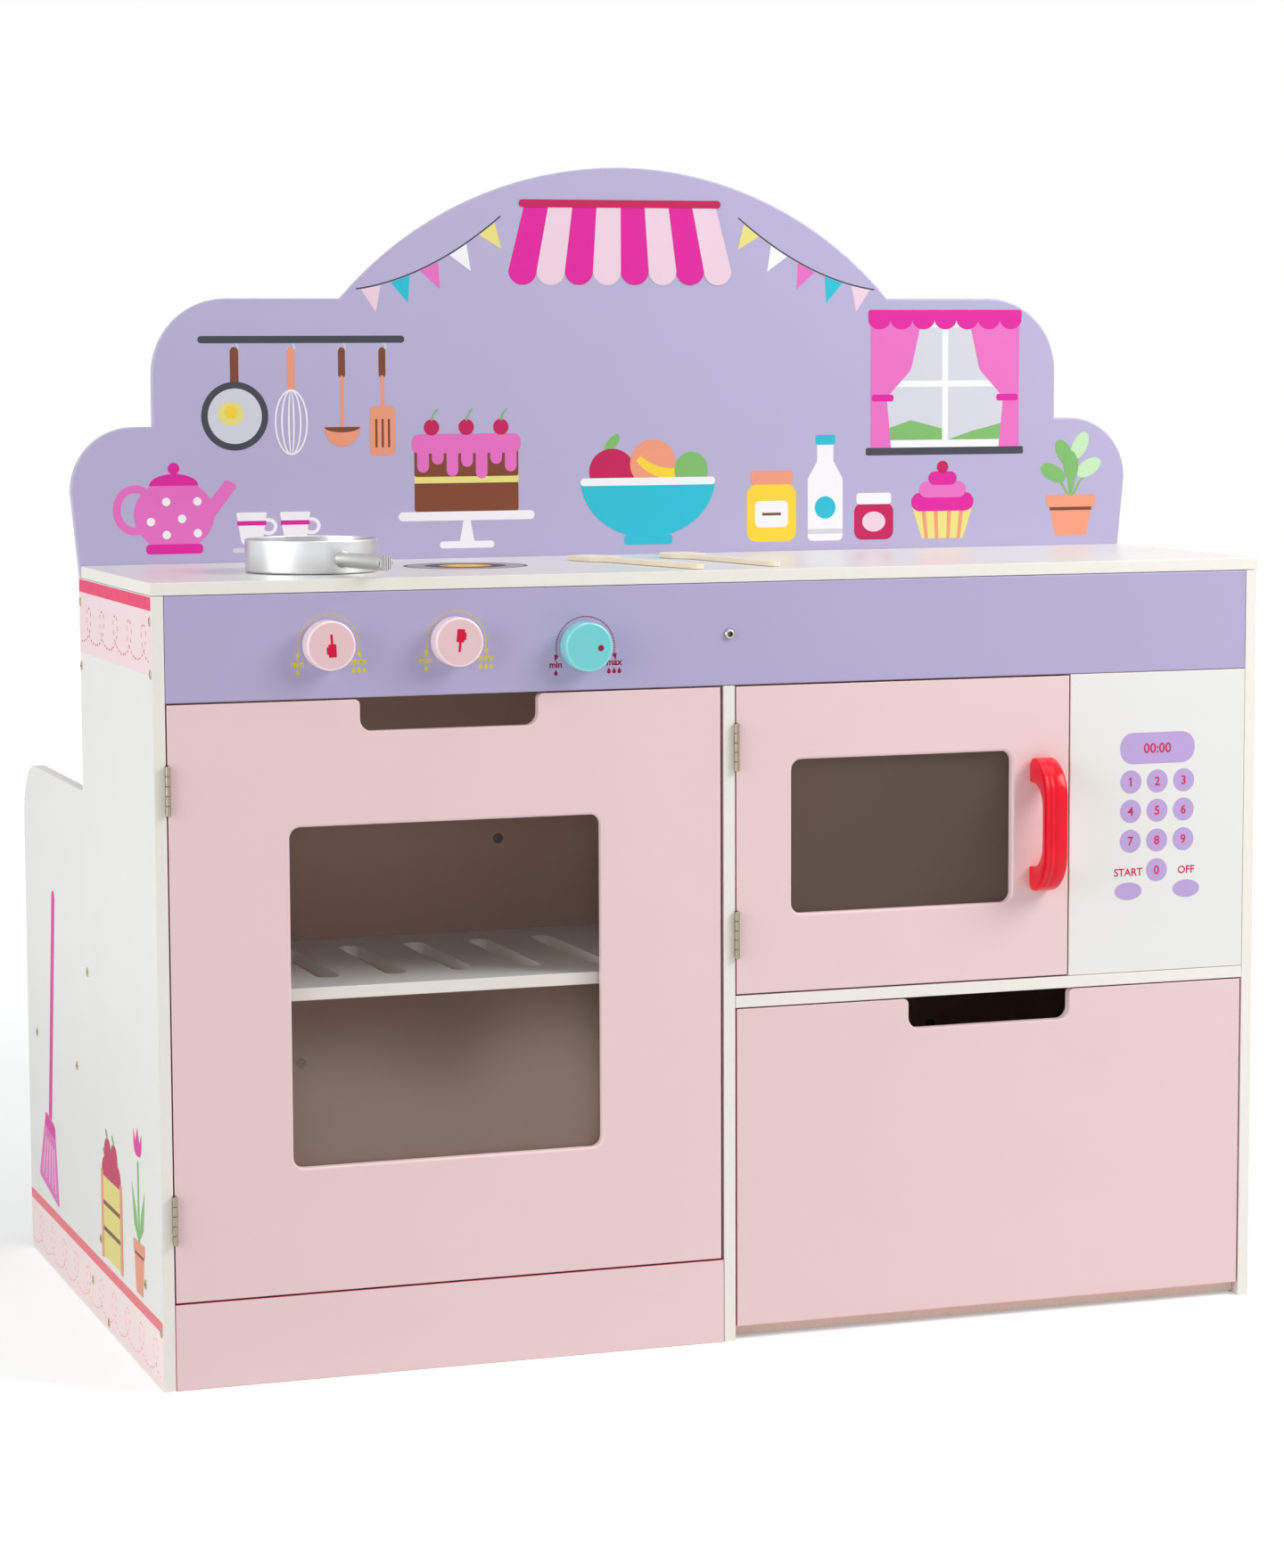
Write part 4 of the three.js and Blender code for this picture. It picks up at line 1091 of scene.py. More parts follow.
class FitKnobs(bpy.types.Operator):
    """Makes the three hollow moulded knobs and prints their faces"""

    bl_idname = "toy_kitchen.fit_knobs"
    bl_label = "Fit knobs"

    # Thickness of the wall, radii of the hub and its bore for the screw, depth of the bore, and
    # chamfer at the rear
    wall = 2.2
    hub = 4.6
    bore = 2.2
    bore_depth = 9.0
    rear = 0.4
    sides = 72

    def execute(self, context):
        settings = context.scene.toy_kitchen_fittings
        plastics = {}
        for tint, shine in (("pink", 0.9), ("teal", 0.7)):
            pale = getattr(settings, "knob_pale_" + tint)
            face = getattr(settings, "knob_" + tint)
            plastics[tint] = [
                moulded_plastic("moulded_pale_" + tint + "_abs", pale, shine=shine),
                moulded_plastic("moulded_" + tint + "_abs", face),
            ]
        # A small pan, drawn about the middle of a knob
        pan = [panel(-2.5, -8.2, 3.3, 1.2, 0.7), panel(-0.6, 1.0, 1.2, 8.2, 0.4)]
        pan.append(bar((-2.9, -5.4), (-3.1, -1.4), 1.5))
        pivot = (0.3, 0.6)
        for name, tint, picture in (
            ("knob_left", "pink", inked("ruby", *[spun(ring, 3, pivot) for ring in pan])),
            ("knob_middle", "pink", inked("ruby", *[spun(ring, 174, pivot) for ring in pan])),
            ("knob_right", "teal", inked("garnet", oval(8.6, -0.9, 2.3, steps=20))),
        ):
            low, high = extent(name)
            middle = (low + high) / 2
            mesh_data = bmesh.new()
            place = toward(spot(middle.x, high.y, middle.z), FORWARD)
            self.add_body(mesh_data, place, (high.x - low.x) / 2, high.y - low.y)
            stand_in(name, mesh_data, plastics[tint])
            face = surface(spot(middle.x, low.y, middle.z), RIGHT, UP)
            printed(name + "_print", face, picture, body_under(name))
        return {"FINISHED"}

    def add_body(self, mesh_data, place, radius, depth):
        """A knob, from the middle of its face over the rim and up inside it to the bore."""
        edge = bpy.context.scene.toy_kitchen_fittings.knob_round / MM
        hollow = radius - self.wall
        profile = [(0.0, depth), (radius - edge - 1.5, depth)]
        profile += arc((radius - edge, depth - edge), (edge, edge), 90, -90, 8)
        profile += [
            (radius, self.rear),
            (radius - self.rear, 0.0),
            (hollow, 0.0),
            (hollow - 0.3, depth - self.wall - 1),
            (hollow - 1.3, depth - self.wall),
            (self.hub + 0.6, depth - self.wall),
            (self.hub, depth - self.wall - 0.6),
            (self.hub, 0.3),
            (self.hub - 0.3, 0.0),
            (self.bore, 0.0),
            (self.bore, self.bore_depth),
            (0.0, self.bore_depth),
        ]
        for face in turned(mesh_data, profile, place, self.sides)[:2 * self.sides]:
            face.material_index = 1


class FitScrews(bpy.types.Operator):
    """Makes the screws and bolts that show: fascia, seat, back board and side panels"""

    bl_idname = "toy_kitchen.fit_screws"
    bl_label = "Fit screws"

    bolts = ("fascia_screw", "seat_bolt_1", "seat_bolt_2", "seat_bolt_3", "seat_bolt_4")
    bolt_dome, bolt_recess, bolt_shank = 2.0, 2.2, 1.8
    # Places on the back board: x and z
    back_screws = ((326.0, 354.5), (534.0, 354.5))
    back_head, back_dome, back_recess = 4.0, 1.6, 1.9
    # Places on a side panel: y from the front and z from the floor
    side_screws = (
        (4.5, 548.0), (4.5, 511.0), (247.5, 548.0), (247.5, 499.5), (247.5, 265.7),
        (247.5, 27.0), (214.5, 66.0), (56.0, 66.0), (4.5, 42.0), (190.0, 6.8),
        (295.4, 185.5), (459.8, 185.5),
    )
    side_head, side_dome, side_recess = 3.9, 0.45, 2.6

    def execute(self, context):
        settings = context.scene.toy_kitchen_fittings
        # Zinc gives turned screws a bright grey, blackening a dull dark grey, and a yellow pass
        # after the zinc a thin tint of brass. The same dark grey in the recesses of the fascia
        # screw and the side screws is painted shade.
        zinc = metal("turned_zinc_plated_steel", settings.zinc, (0.25, 0.4))
        dark = metal("blackened_steel", settings.blackened)
        yellow = metal("yellow_zinc_plated_steel", settings.brassy)
        for name in self.bolts:
            low, high = extent(name)
            middle, dome = (low + high) / 2, self.bolt_dome
            place = toward(spot(middle.x, low.y + dome, middle.z), FORWARD)
            size = (self.bolt_recess, self.bolt_shank, high.y - low.y - dome)
            mesh_data = bmesh.new()
            screw_form(mesh_data, place, (high.x - low.x) / 2, dome, "hex", *size)
            stand_in(name, mesh_data, [zinc if name == "fascia_screw" else dark, dark])
        board = extent("lower_back_board")[0].y
        for i, (x, z) in enumerate(self.back_screws):
            mesh_data = bmesh.new()
            size = (self.back_head, self.back_dome, "hex", self.back_recess)
            screw_form(mesh_data, toward(spot(x, board, z), FORWARD), *size, recess_shade_ink=0)
            piece_from("back_board_screw_%d" % (i + 1), mesh_data, "cabinet", [dark])
        for side, out in (("left", -1), ("right", 1)):
            face = extent("side_panel_" + side)[out > 0].x
            mesh_data = bmesh.new()
            for y, z in self.side_screws:
                place = toward(spot(face, y, z), (out, 0, 0))
                size = (self.side_head, self.side_dome, "cross", self.side_recess)
                screw_form(mesh_data, place, *size)
            piece_from("side_screws_" + side, mesh_data, "cabinet", [yellow, dark])
        return {"FINISHED"}


class PrintDials(bpy.types.Operator):
    """Prints the dotted arc, arrows, words and drops round each knob"""

    bl_idname = "toy_kitchen.print_dials"
    bl_label = "Print dials"

    arc_radius = 22.2
    arc_place = (1.6, -1.0)
    # The row of dots starts a little under the level of its middle, on the right.
    arc_start, arc_turn = -11, 202
    dot = 0.6
    dots = 46
    arrow = ((-1.9, 2.6), (1.9, 2.6), (0.0, -2.4))
    arrow_place, arrow_lean = (22.6, -7.6), 14
    # Each word with its middle, its foot and its height
    words = (("min", -22.6, -14.4, 4.6), ("max", 21.8, -13.8, 3.7))
    weight = 0.03
    drop = 1.45
    drop_tip = 3.1
    drops = ((-22.6, -18.6), (17.8, -18.2), (21.8, -18.2), (25.8, -18.2))

    def execute(self, context):
        for knob, ink_name in (("left", "mark"), ("middle", "mark"), ("right", "garnet")):
            low, high = extent("knob_" + knob)
            middle = (low + high) / 2
            marks = self.marks(middle.x + self.arc_place[0], middle.z + self.arc_place[1])
            shapes = [(ink_name, form) for form in marks]
            printed("dial_" + knob + "_print", front_of("control_fascia"), shapes)
        return {"FINISHED"}

    def marks(self, x, z):
        reach = (self.arc_radius, self.arc_radius)
        dots = arc((x, z), reach, self.arc_start, self.arc_turn, self.dots)
        marks = [[oval(*dot, self.dot, steps=8)] for dot in dots]
        across, up = self.arrow_place
        for side in (-1, 1):
            arrow = spun(self.arrow, side * self.arrow_lean)
            marks.append([shifted(arrow, x + side * across, z + up)])
        for word, across, up, height in self.words:
            marks.append(lettering(word, x + across, z + up, height, self.weight))
        for across, up in self.drops:
            tear = arc((x + across, z + up), (self.drop, self.drop), 155, 230, 12)
            marks.append([tear + [(x + across, z + up + self.drop_tip)]])
        return marks


class PrintKeypad(bpy.types.Operator):
    """Prints the clock, the round number keys and the two oval keys"""

    bl_idname = "toy_kitchen.print_keypad"
    bl_label = "Print keypad"

    clock = (745.5, 420.0, 808.5, 444.0)
    clock_corner = 11.0
    columns = (754.8, 777.1, 799.4)
    rows = (406.5, 384.0, 361.1, 338.2)
    key_radius = 8.9
    # The words over the oval keys, with the keys' middles
    ovals = (("START", 753.3, 322.7), ("OFF", 802.2, 322.8))
    oval_size = (11.4, 6.8)
    # How far under a key's middle its number starts, and over an oval key's middle its word
    number_drop, word_rise = 3.5, 11.6
    clock_height, number_height, word_height = 7.8, 7.0, 6.1
    weight = 0.02

    def execute(self, context):
        shapes = inked("key", panel(*self.clock, self.clock_corner))
        shapes.append(self.words("00:00", 777.0, 428.0, self.clock_height))
        for i, x in enumerate(self.columns):
            for j, z in enumerate(self.rows):
                if j == 3 and i != 1:
                    continue
                sign = "0" if j == 3 else str(3 * j + i + 1)
                shapes += inked("key", oval(x, z, self.key_radius, steps=48))
                shapes.append(self.words(sign, x, z - self.number_drop, self.number_height))
                # The plain letters' 1 has no flag, so it gets one.
                if sign == "1":
                    shapes += inked("digit", bar((x - 0.1, z + 3.0), (x - 1.6, z + 1.9), 0.8))
        for word, x, z in self.ovals:
            shapes += inked("key", oval(x, z, *self.oval_size, steps=48))
            shapes.append(self.words(word, x, z + self.word_rise, self.word_height))
        printed("keypad_print", front_of("keypad_panel"), shapes)
        return {"FINISHED"}

    def words(self, text, middle, foot, height):
        return "digit", lettering(text, middle, foot, height, self.weight)


class PrintHotPlate(bpy.types.Operator):
    """Prints the round hot plate on the worktop"""

    bl_idname = "toy_kitchen.print_hot_plate"
    bl_label = "Print hot plate"

    centre = (268.0, 132.0)
    radius = 46.5
    rim = 2.5
    # The inks inside the ring, each with its share of the radius
    rings = ((0.66, "slate"), (0.42, "glow"), (0.28, "yellow"), (0.1, "glow"))

    def execute(self, context):
        shapes = inked("slate", oval(*self.centre, self.radius, steps=96))
        shapes += inked("ring", oval(*self.centre, self.radius - self.rim, steps=96))
        for share, ink_name in self.rings:
            shapes += inked(ink_name, oval(*self.centre, self.radius * share, steps=64))
        top = surface(spot(0, 0, extent("worktop")[1].z), RIGHT, BACK)
        printed("hot_plate_print", top, shapes)
        return {"FINISHED"}


# Pictures of the backboard. They stand on a line just above the worktop.

FOOT = 582.5


def awning():
    left, right, low, high = 338.0, 522.0, 796.0, 846.0
    stripes, lean, drop = 8, 13.0, 11.0
    shapes = []
    for i in range(stripes):
        shares = (i / stripes, (i + 1) / stripes)
        foot = [left + (right - left) * share for share in shares]
        top = [left + lean + (right - left - 2 * lean) * share for share in shares]
        cloth = [(foot[0], low), (foot[1], low), (top[1], high), (top[0], high)]
        width = (foot[1] - foot[0]) / 2
        scallop = half(foot[0] + width, low + 0.2, width, drop)
        shapes += inked(("magenta", "blush")[i % 2], cloth, scallop)
    beam = panel(left + lean - 4, high - 1, right - lean + 4, high + 5, 2.8)
    return shapes + inked("crimson", beam)


def bunting():
    middle, near, far, high, fall, sag = 430.0, 98, 214, 838, 56, 40
    shapes = []
    for side in (-1, 1):
        line = []
        for share in (k / 20 for k in range(21)):
            x = middle + side * (near + (far - near) * share)
            line.append((x, high - fall * share - sag * share * (1 - share)))
        shapes += inked("slate", stroke(line, 1.1))
        for k, ink_name in enumerate(("butter", "chalk", "orchid", "teal", "blush")):
            i = 2 + 4 * k
            along = (Vector(line[i + 1]) - Vector(line[i - 1])) * side
            slope = math.degrees(math.atan2(along.y, along.x))
            flag = spun([(-8, -0.8), (8, -0.8), (0, -20)], slope)
            shapes += inked(ink_name, shifted(flag, *line[i]))
    return shapes


def pan_rail():
    rail = 741.0
    hooks = [stroke(arc((x, rail - 3), (3, 3), 200, 220, 12), 1.2) for x in (120, 164, 204, 236)]
    whisk = []
    for width in (13.0, 8.0, 2.6):
        rings = [oval(164, rail - 60, width - wire, 25 - wire, steps=40) for wire in (0, 1.3)]
        whisk.append(("chalk", rings))
    slots = [panel(x - 0.9, rail - 80, x + 0.9, rail - 58, 0.8) for x in (231, 236, 241)]
    return [
        *inked("slate", panel(92, rail, 254, rail + 5.5, 2.7)),
        *inked("mist", *hooks),
        *inked("cocoa", bar((120, rail - 6), (120, rail - 30), 6.5)),
        *inked("slate", oval(120, rail - 55, 26, steps=48)),
        *inked("mist", oval(120, rail - 55, 21, steps=48)),
        *inked("butter", oval(117, rail - 53, 10, 9)),
        *inked("yellow", oval(117, rail - 52, 5.0)),
        *inked("coral", bar((164, rail - 6), (164, rail - 34), 6)),
        *whisk,
        *inked("cocoa", bar((204, rail - 6), (204, rail - 24), 5.4)),
        *inked("coral", bar((204, rail - 26), (204, rail - 66), 2.6)),
        *inked("coral", half(204, rail - 64, 14, 15)),
        *inked("cocoa", half(204, rail - 64, 14, 4), bar((236, rail - 6), (236, rail - 24), 5.4)),
        *inked("coral", bar((236, rail - 26), (236, rail - 50), 2.6)),
        *inked("coral", panel(226, rail - 86, 246, rail - 48, 4)),
        *inked("cocoa", *slots),
    ]


def teapot():
    spots = ((54, 607), (66, 622), (66, 597), (78, 609), (90, 622), (90, 598))
    shapes = [
        ("orchid", [oval(42, 616, 17, 19), oval(42, 616, 11, 13)]),
        *inked("orchid", eased([(92, 596), (122, 634, 3), (112, 638, 2), (96, 618)])),
        *inked("orchid", oval(72, 612, 31, 27, steps=48)),
        *inked("magenta", panel(50, FOOT, 94, 590, 3), half(72, 634, 19, -9), oval(72, 647, 4.5)),
        *inked("chalk", *[oval(x, z, 3.2) for x, z in spots]),
    ]
    for x in (132.0, 166.0):
        cup = eased([(x - 8, 588, 5), (x + 8, 588, 5), (x + 12, 613, 1), (x - 12, 613, 1)])
        shapes += [
            ("chalk", [oval(x + 13, 602, 7, 6.5), oval(x + 13, 602, 4.2, 3.8)]),
            *inked("chalk", cup),
            *inked("mist", panel(x - 15, FOOT, x + 15, 586, 1.7)),
            *inked("magenta", panel(x - 11.3, 603, x + 11.3, 606.5)),
        ]
    return shapes


def cake():
    drips = [bar((268 + 11.8 * i, 662), (268 + 11.8 * i, drop), 9.5)
             for i, drop in enumerate((646, 652, 643, 650, 641, 652, 646))]
    shapes = [
        *inked("chalk", panel(281, FOOT, 325, 588, 2.5)),
        *inked("chalk", eased([(297, 587), (309, 587), (305.5, 606), (300.5, 606)])),
        *inked("chalk", panel(248, 604, 358, 611, 3.4)),
        *inked("cocoa", panel(261, 611, 345, 634, 2)),
        *inked("butter", panel(261, 633, 345, 639)),
        *inked("cocoa", panel(261, 638, 345, 662, 2)),
        *inked("orchid", panel(259, 656, 347, 671, 6), *drips),
    ]
    for x in (275, 303, 331):
        shapes += inked("crimson", oval(x, 676, 6.2))
        shapes += inked("leaf", stroke([(x, 681), (x + 1.5, 686), (x + 5, 690)], 1.3))
    return shapes


def fruit_bowl():
    banana = arc((470, 668), (34, 34), 215, 100, 16) + arc((473, 680), (40, 38), 305, -78, 16)
    return [
        *inked("leaf", spun(oval(422, 662, 4, 9), -40, (422, 662))),
        *inked("crimson", oval(422, 640, 19, 18)),
        *inked("coral", oval(456, 646, 19, 19)),
        *inked("yellow", banana),
        *inked("leaf", oval(488, 640, 14, 15)),
        *inked("teal", half(452, 634, 56, 46, steps=40)),
        *inked("chalk", panel(396, 629, 508, 635, 2.6)),
        *inked("teal", panel(432, FOOT, 472, 590, 2)),
    ]


def jars():
    left = [(595, 660), (595, 646, 3), (587, 632, 5), (587, FOOT, 4)]
    right = [(617, FOOT, 4), (617, 632, 5), (609, 646, 3), (609, 660)]
    return [
        *inked("yellow", panel(535, FOOT, 577, 628, 8)),
        *inked("coral", panel(538, 628, 574, 639, 3)),
        *inked("chalk", panel(542, 594, 570, 615, 4)),
        *inked("cocoa", stroke([(548, 604.5), (564, 604.5)], 2.2)),
        *inked("chalk", eased(left[3:] + right + left[:3])),
        *inked("teal", panel(593.5, 659, 610.5, 667, 2), oval(602, 609, 9)),
        *inked("mist", panel(587, 588, 617, 592)),
        *inked("crimson", panel(627, FOOT, 661, 612, 7)),
        *inked("chalk", panel(629, 611, 659, 620, 2.5)),
        *inked("blush", oval(644, 597, 10, 8)),
    ]


def window():
    left, right, low, high = 646.0, 766.0, 656.0, 758.0
    middle, rail, frame_width, bar_half = (left + right) / 2, (low + high) / 2, 6, 2.5
    sill = low + frame_width
    sides = ((left + frame_width, middle - bar_half), (middle + bar_half, right - frame_width))
    rows = ((sill, rail - bar_half), (rail + bar_half, high - frame_width))
    shapes = inked("chalk", panel(left, low, right, high, 3))
    shapes += inked("mist", *[panel(x0, z0, x1, z1, 1) for x0, x1 in sides for z0, z1 in rows])
    (x0, x1), (x2, x3) = sides
    hill = [(x0, sill), (x1, sill), (x1, low + 15, 1), (left + 30, low + 22, 8), (x0, low + 14, 1)]
    slope = [(x2, sill), (x3, sill), (x3, low + 20, 1), (middle + 24, low + 13, 8)]
    shapes += inked("leaf", eased(hill), eased(slope))
    shapes += inked("butter", oval(right - 26, high - 24, 8.5))
    top = high - low + 3
    drape = [(-5, top), (40, top, 2), (30, 62, 12), (9, 40, 3), (13, -2, 3), (-5, -2, 3)]
    for side, edge in ((1, left), (-1, right)):
        shapes += inked("orchid", eased([(edge + side * x, low + z, *r) for x, z, *r in drape]))
        tie = sorted((edge - side * 4, edge + side * 15))
        shapes += inked("magenta", panel(tie[0], low + 37, tie[1], low + 42.5, 2))
    width = (right - left + 14) / 7
    places = [left - 7 + width * (i + 0.5) for i in range(7)]
    shapes += inked("magenta", *[half(x, high + 0.4, width / 2, 8) for x in places])
    shapes += inked("magenta", panel(left - 7, high, right + 7, high + 8, 2))
    return shapes + inked("slate", panel(left - 9, low - 6, right + 9, low, 1.5))


def cupcake():
    shapes = inked("butter", eased([(686, FOOT, 2), (722, FOOT, 2), (730, 607), (678, 607)]))
    for x in (690, 699, 709, 718):
        top = x + (x - 704) * 0.2
        pleat = [(x - 1.4, FOOT), (x + 1.4, FOOT), (top + 1.8, 607), (top - 1.8, 607)]
        shapes += inked("coral", pleat)
    return shapes + [
        *inked("magenta", bar((684, 612), (724, 612), 15)),
        *inked("orchid", bar((690, 622), (718, 622), 13)),
        *inked("magenta", bar((697, 631), (711, 631), 11)),
        *inked("crimson", oval(704, 640, 5)),
    ]


def herb_pot():
    root = 818
    leaves = ((812, 650, 30), (826, 656, -28), (802, 634, 62), (834, 638, -60), (818, 640, 4))
    shapes = []
    for x, z, turn in leaves:
        stem = [(root, 612), ((x + root) / 2, (z + 616) / 2), (x, z - 4)]
        shapes += inked("leaf", stroke(stem, 1.6))
    for i, (x, z, turn) in enumerate(leaves):
        shapes += inked(("leaf", "mint")[i % 2], spun(oval(x, z, 6.5, 12), turn, (x, z)))
    return shapes + [
        *inked("coral", eased([(804, FOOT, 2), (832, FOOT, 2), (837, 608), (799, 608)])),
        *inked("coral", panel(796, 606, 840, 616, 2)),
        *inked("cocoa", panel(799.4, 603.4, 836.6, 606)),
    ]


class PrintBackboard(bpy.types.Operator):
    """Prints the kitchen pictures on the backboard"""

    bl_idname = "toy_kitchen.print_backboard"
    bl_label = "Print backboard"

    def execute(self, context):
        place = front_of("backboard")
        for picture in (awning, bunting, pan_rail, teapot, cake, fruit_bowl, jars, window,
                        cupcake, herb_pot):
            printed(picture.__name__ + "_print", place, picture())
        return {"FINISHED"}


# Pictures of the sides, measured from the front edge and up from the floor


def crate():
    shapes = []
    for y, z in ((150, 122), (172, 126), (194, 121), (161, 136), (184, 137)):
        stalk = (y + 3, z + 15)
        shapes += inked("crimson", oval(y, z, 12.5))
        shapes += inked("leaf", spun(oval(*stalk, 2.2, 5), -50, stalk))
    shapes += inked("butter", panel(134, 56, 210, 118, 1.5))
    shapes += inked("cocoa", *[panel(134, z, 210, z + 3.5) for z in (76, 96)])
    return shapes + inked("coral", *[panel(y, 54, y + 8, 122, 1.5) for y in (134, 202)])


def tulip_pot():
    stem = 76
    leaves = [
        [(stem, 92), (stem + side * 16, 104), (stem + side * 22, 134), (stem + side * 8, 114)]
        for side in (-1, 1)
    ]
    petals = [
        (62, 176, 1), (62, 156, 10), (90, 156, 10), (90, 176, 1), (83, 166, 1), (stem, 178, 1),
        (69, 166, 1),
    ]
    return [
        *inked("leaf", bar((stem, 92), (stem, 150), 6), *leaves),
        *inked("magenta", eased(petals)),
        *inked("coral", eased([(64, 54, 2), (88, 54, 2), (93, 86), (59, 86)])),
        *inked("coral", panel(56.5, 84, 95.5, 93, 2)),
        *inked("cocoa", panel(60, 82, 92, 84.2)),
    ]


def broom():
    """A broom that leans back, drawn upright about its foot and then turned."""
    foot, lean = (420.0, 62.0), 9.0
    bristles = [bar((spread * 0.6, 40), (spread, 8), 3) for spread in (-26, -13, 0, 13, 26)]
    shapes = [
        *inked("magenta", bar((0, 66), (0, 246), 13)),
        *inked("orchid", eased([(-19, 62, 8), (19, 62, 8), (42, 0, 3), (-42, 0, 3)])),
        *inked("magenta", panel(-21, 50, 21, 60, 2)),
        *inked("blush", *bristles),
    ]
    return [(name, [shifted(spun(ring, lean), *foot) for ring in rings]) for name, rings in shapes]


class PrintSides(bpy.types.Operator):
    """Prints the stripes, the looped bands and the pictures on both side panels"""

    bl_idname = "toy_kitchen.print_sides"
    bl_label = "Print sides"

    margin = 1.0
    heel = 10.0
    stripe_top = (555.5, 565.0)
    band_top = (510.0, 555.5)
    stripe_low = (42.0, 50.0)
    loop_pitch = 48.0
    loop_steps = 240
    loop_lean = 18.0
    loop_height = 26.0
    loop_inset = 1.5
    # How far the upper loops run under the middle of their band
    loop_drop = 1.0
    dash = 4.0
    gap = 3.5
    # Width of the dashes in the upper and in the lower band
    dash_widths = (1.25, 0.8)

    def execute(self, context):
        for side, out in (("left", -1), ("right", 1)):
            name = "side_panel_" + side
            low, high = extent(name)
            # Its upper part is less deep than its foot.
            board = frame["nodes"][name].data.vertices
            upper = max(vertex.co.y for vertex in board if vertex.co.z > (high.z - 2) * MM)
            rear = (upper - CORNER.y) / MM - self.margin
            place = surface(spot(low.x if out < 0 else high.x, 0, 0), (0, out, 0), UP)
            for title, shapes in (
                ("bands", self.bands(rear, high.y - self.margin)),
                ("crate", crate()),
                ("tulip_pot", tulip_pot()),
                ("broom", broom()),
            ):
                seen = [
                    (ink_name, [[(out * y, z) for y, z in ring] for ring in rings])
                    for ink_name, rings in shapes
                ]
                printed("side_" + title + "_print_" + side, place, seen)
        return {"FINISHED"}

    def bands(self, rear, far):
        near, low = self.margin, self.stripe_low[0]
        foot = eased([(near, near), (far, near, self.heel), (far, low), (near, low)])
        middle = sum(self.band_top) / 2 - self.loop_drop
        return [
            *inked("stripe", panel(near, self.stripe_top[0], rear, self.stripe_top[1])),
            *inked("band", panel(near, self.band_top[0], rear, self.band_top[1])),
            *inked("salmon", panel(near, low, far, self.stripe_low[1])),
            *inked("foot_band", foot),
            *inked("crimson", *self.loops(near, rear, middle, self.dash_widths[0])),
            *inked("salmon", *self.loops(near, far, low / 2, self.dash_widths[1])),
        ]

    def loops(self, start, end, middle, width):
        """Short dashes along a line that runs in upright loops."""
        turns = (end - start) / self.loop_pitch
        steps = int(turns * self.loop_steps)
        line = []
        for k in range(steps + 1):
            angle = 2 * math.pi * turns * k / steps
            y = start + (end - start) * k / steps + self.loop_lean * math.sin(angle)
            line.append((y, middle - self.loop_height / 2 * math.cos(angle)))
        dashes, dash, travelled = [], [line[0]], 0.0
        for a, b in zip(line, line[1:]):
            travelled += (Vector(b) - Vector(a)).length
            if travelled % (self.dash + self.gap) < self.dash:
                dash.append(b)
                continue
            if len(dash) > 2:
                dashes.append(stroke([dash[0], dash[len(dash) // 2], dash[-1]], width))
            dash = []
        first, last = start + self.loop_inset, end - self.loop_inset
        return [ring for ring in dashes if all(first < y < last for y, _ in ring)]


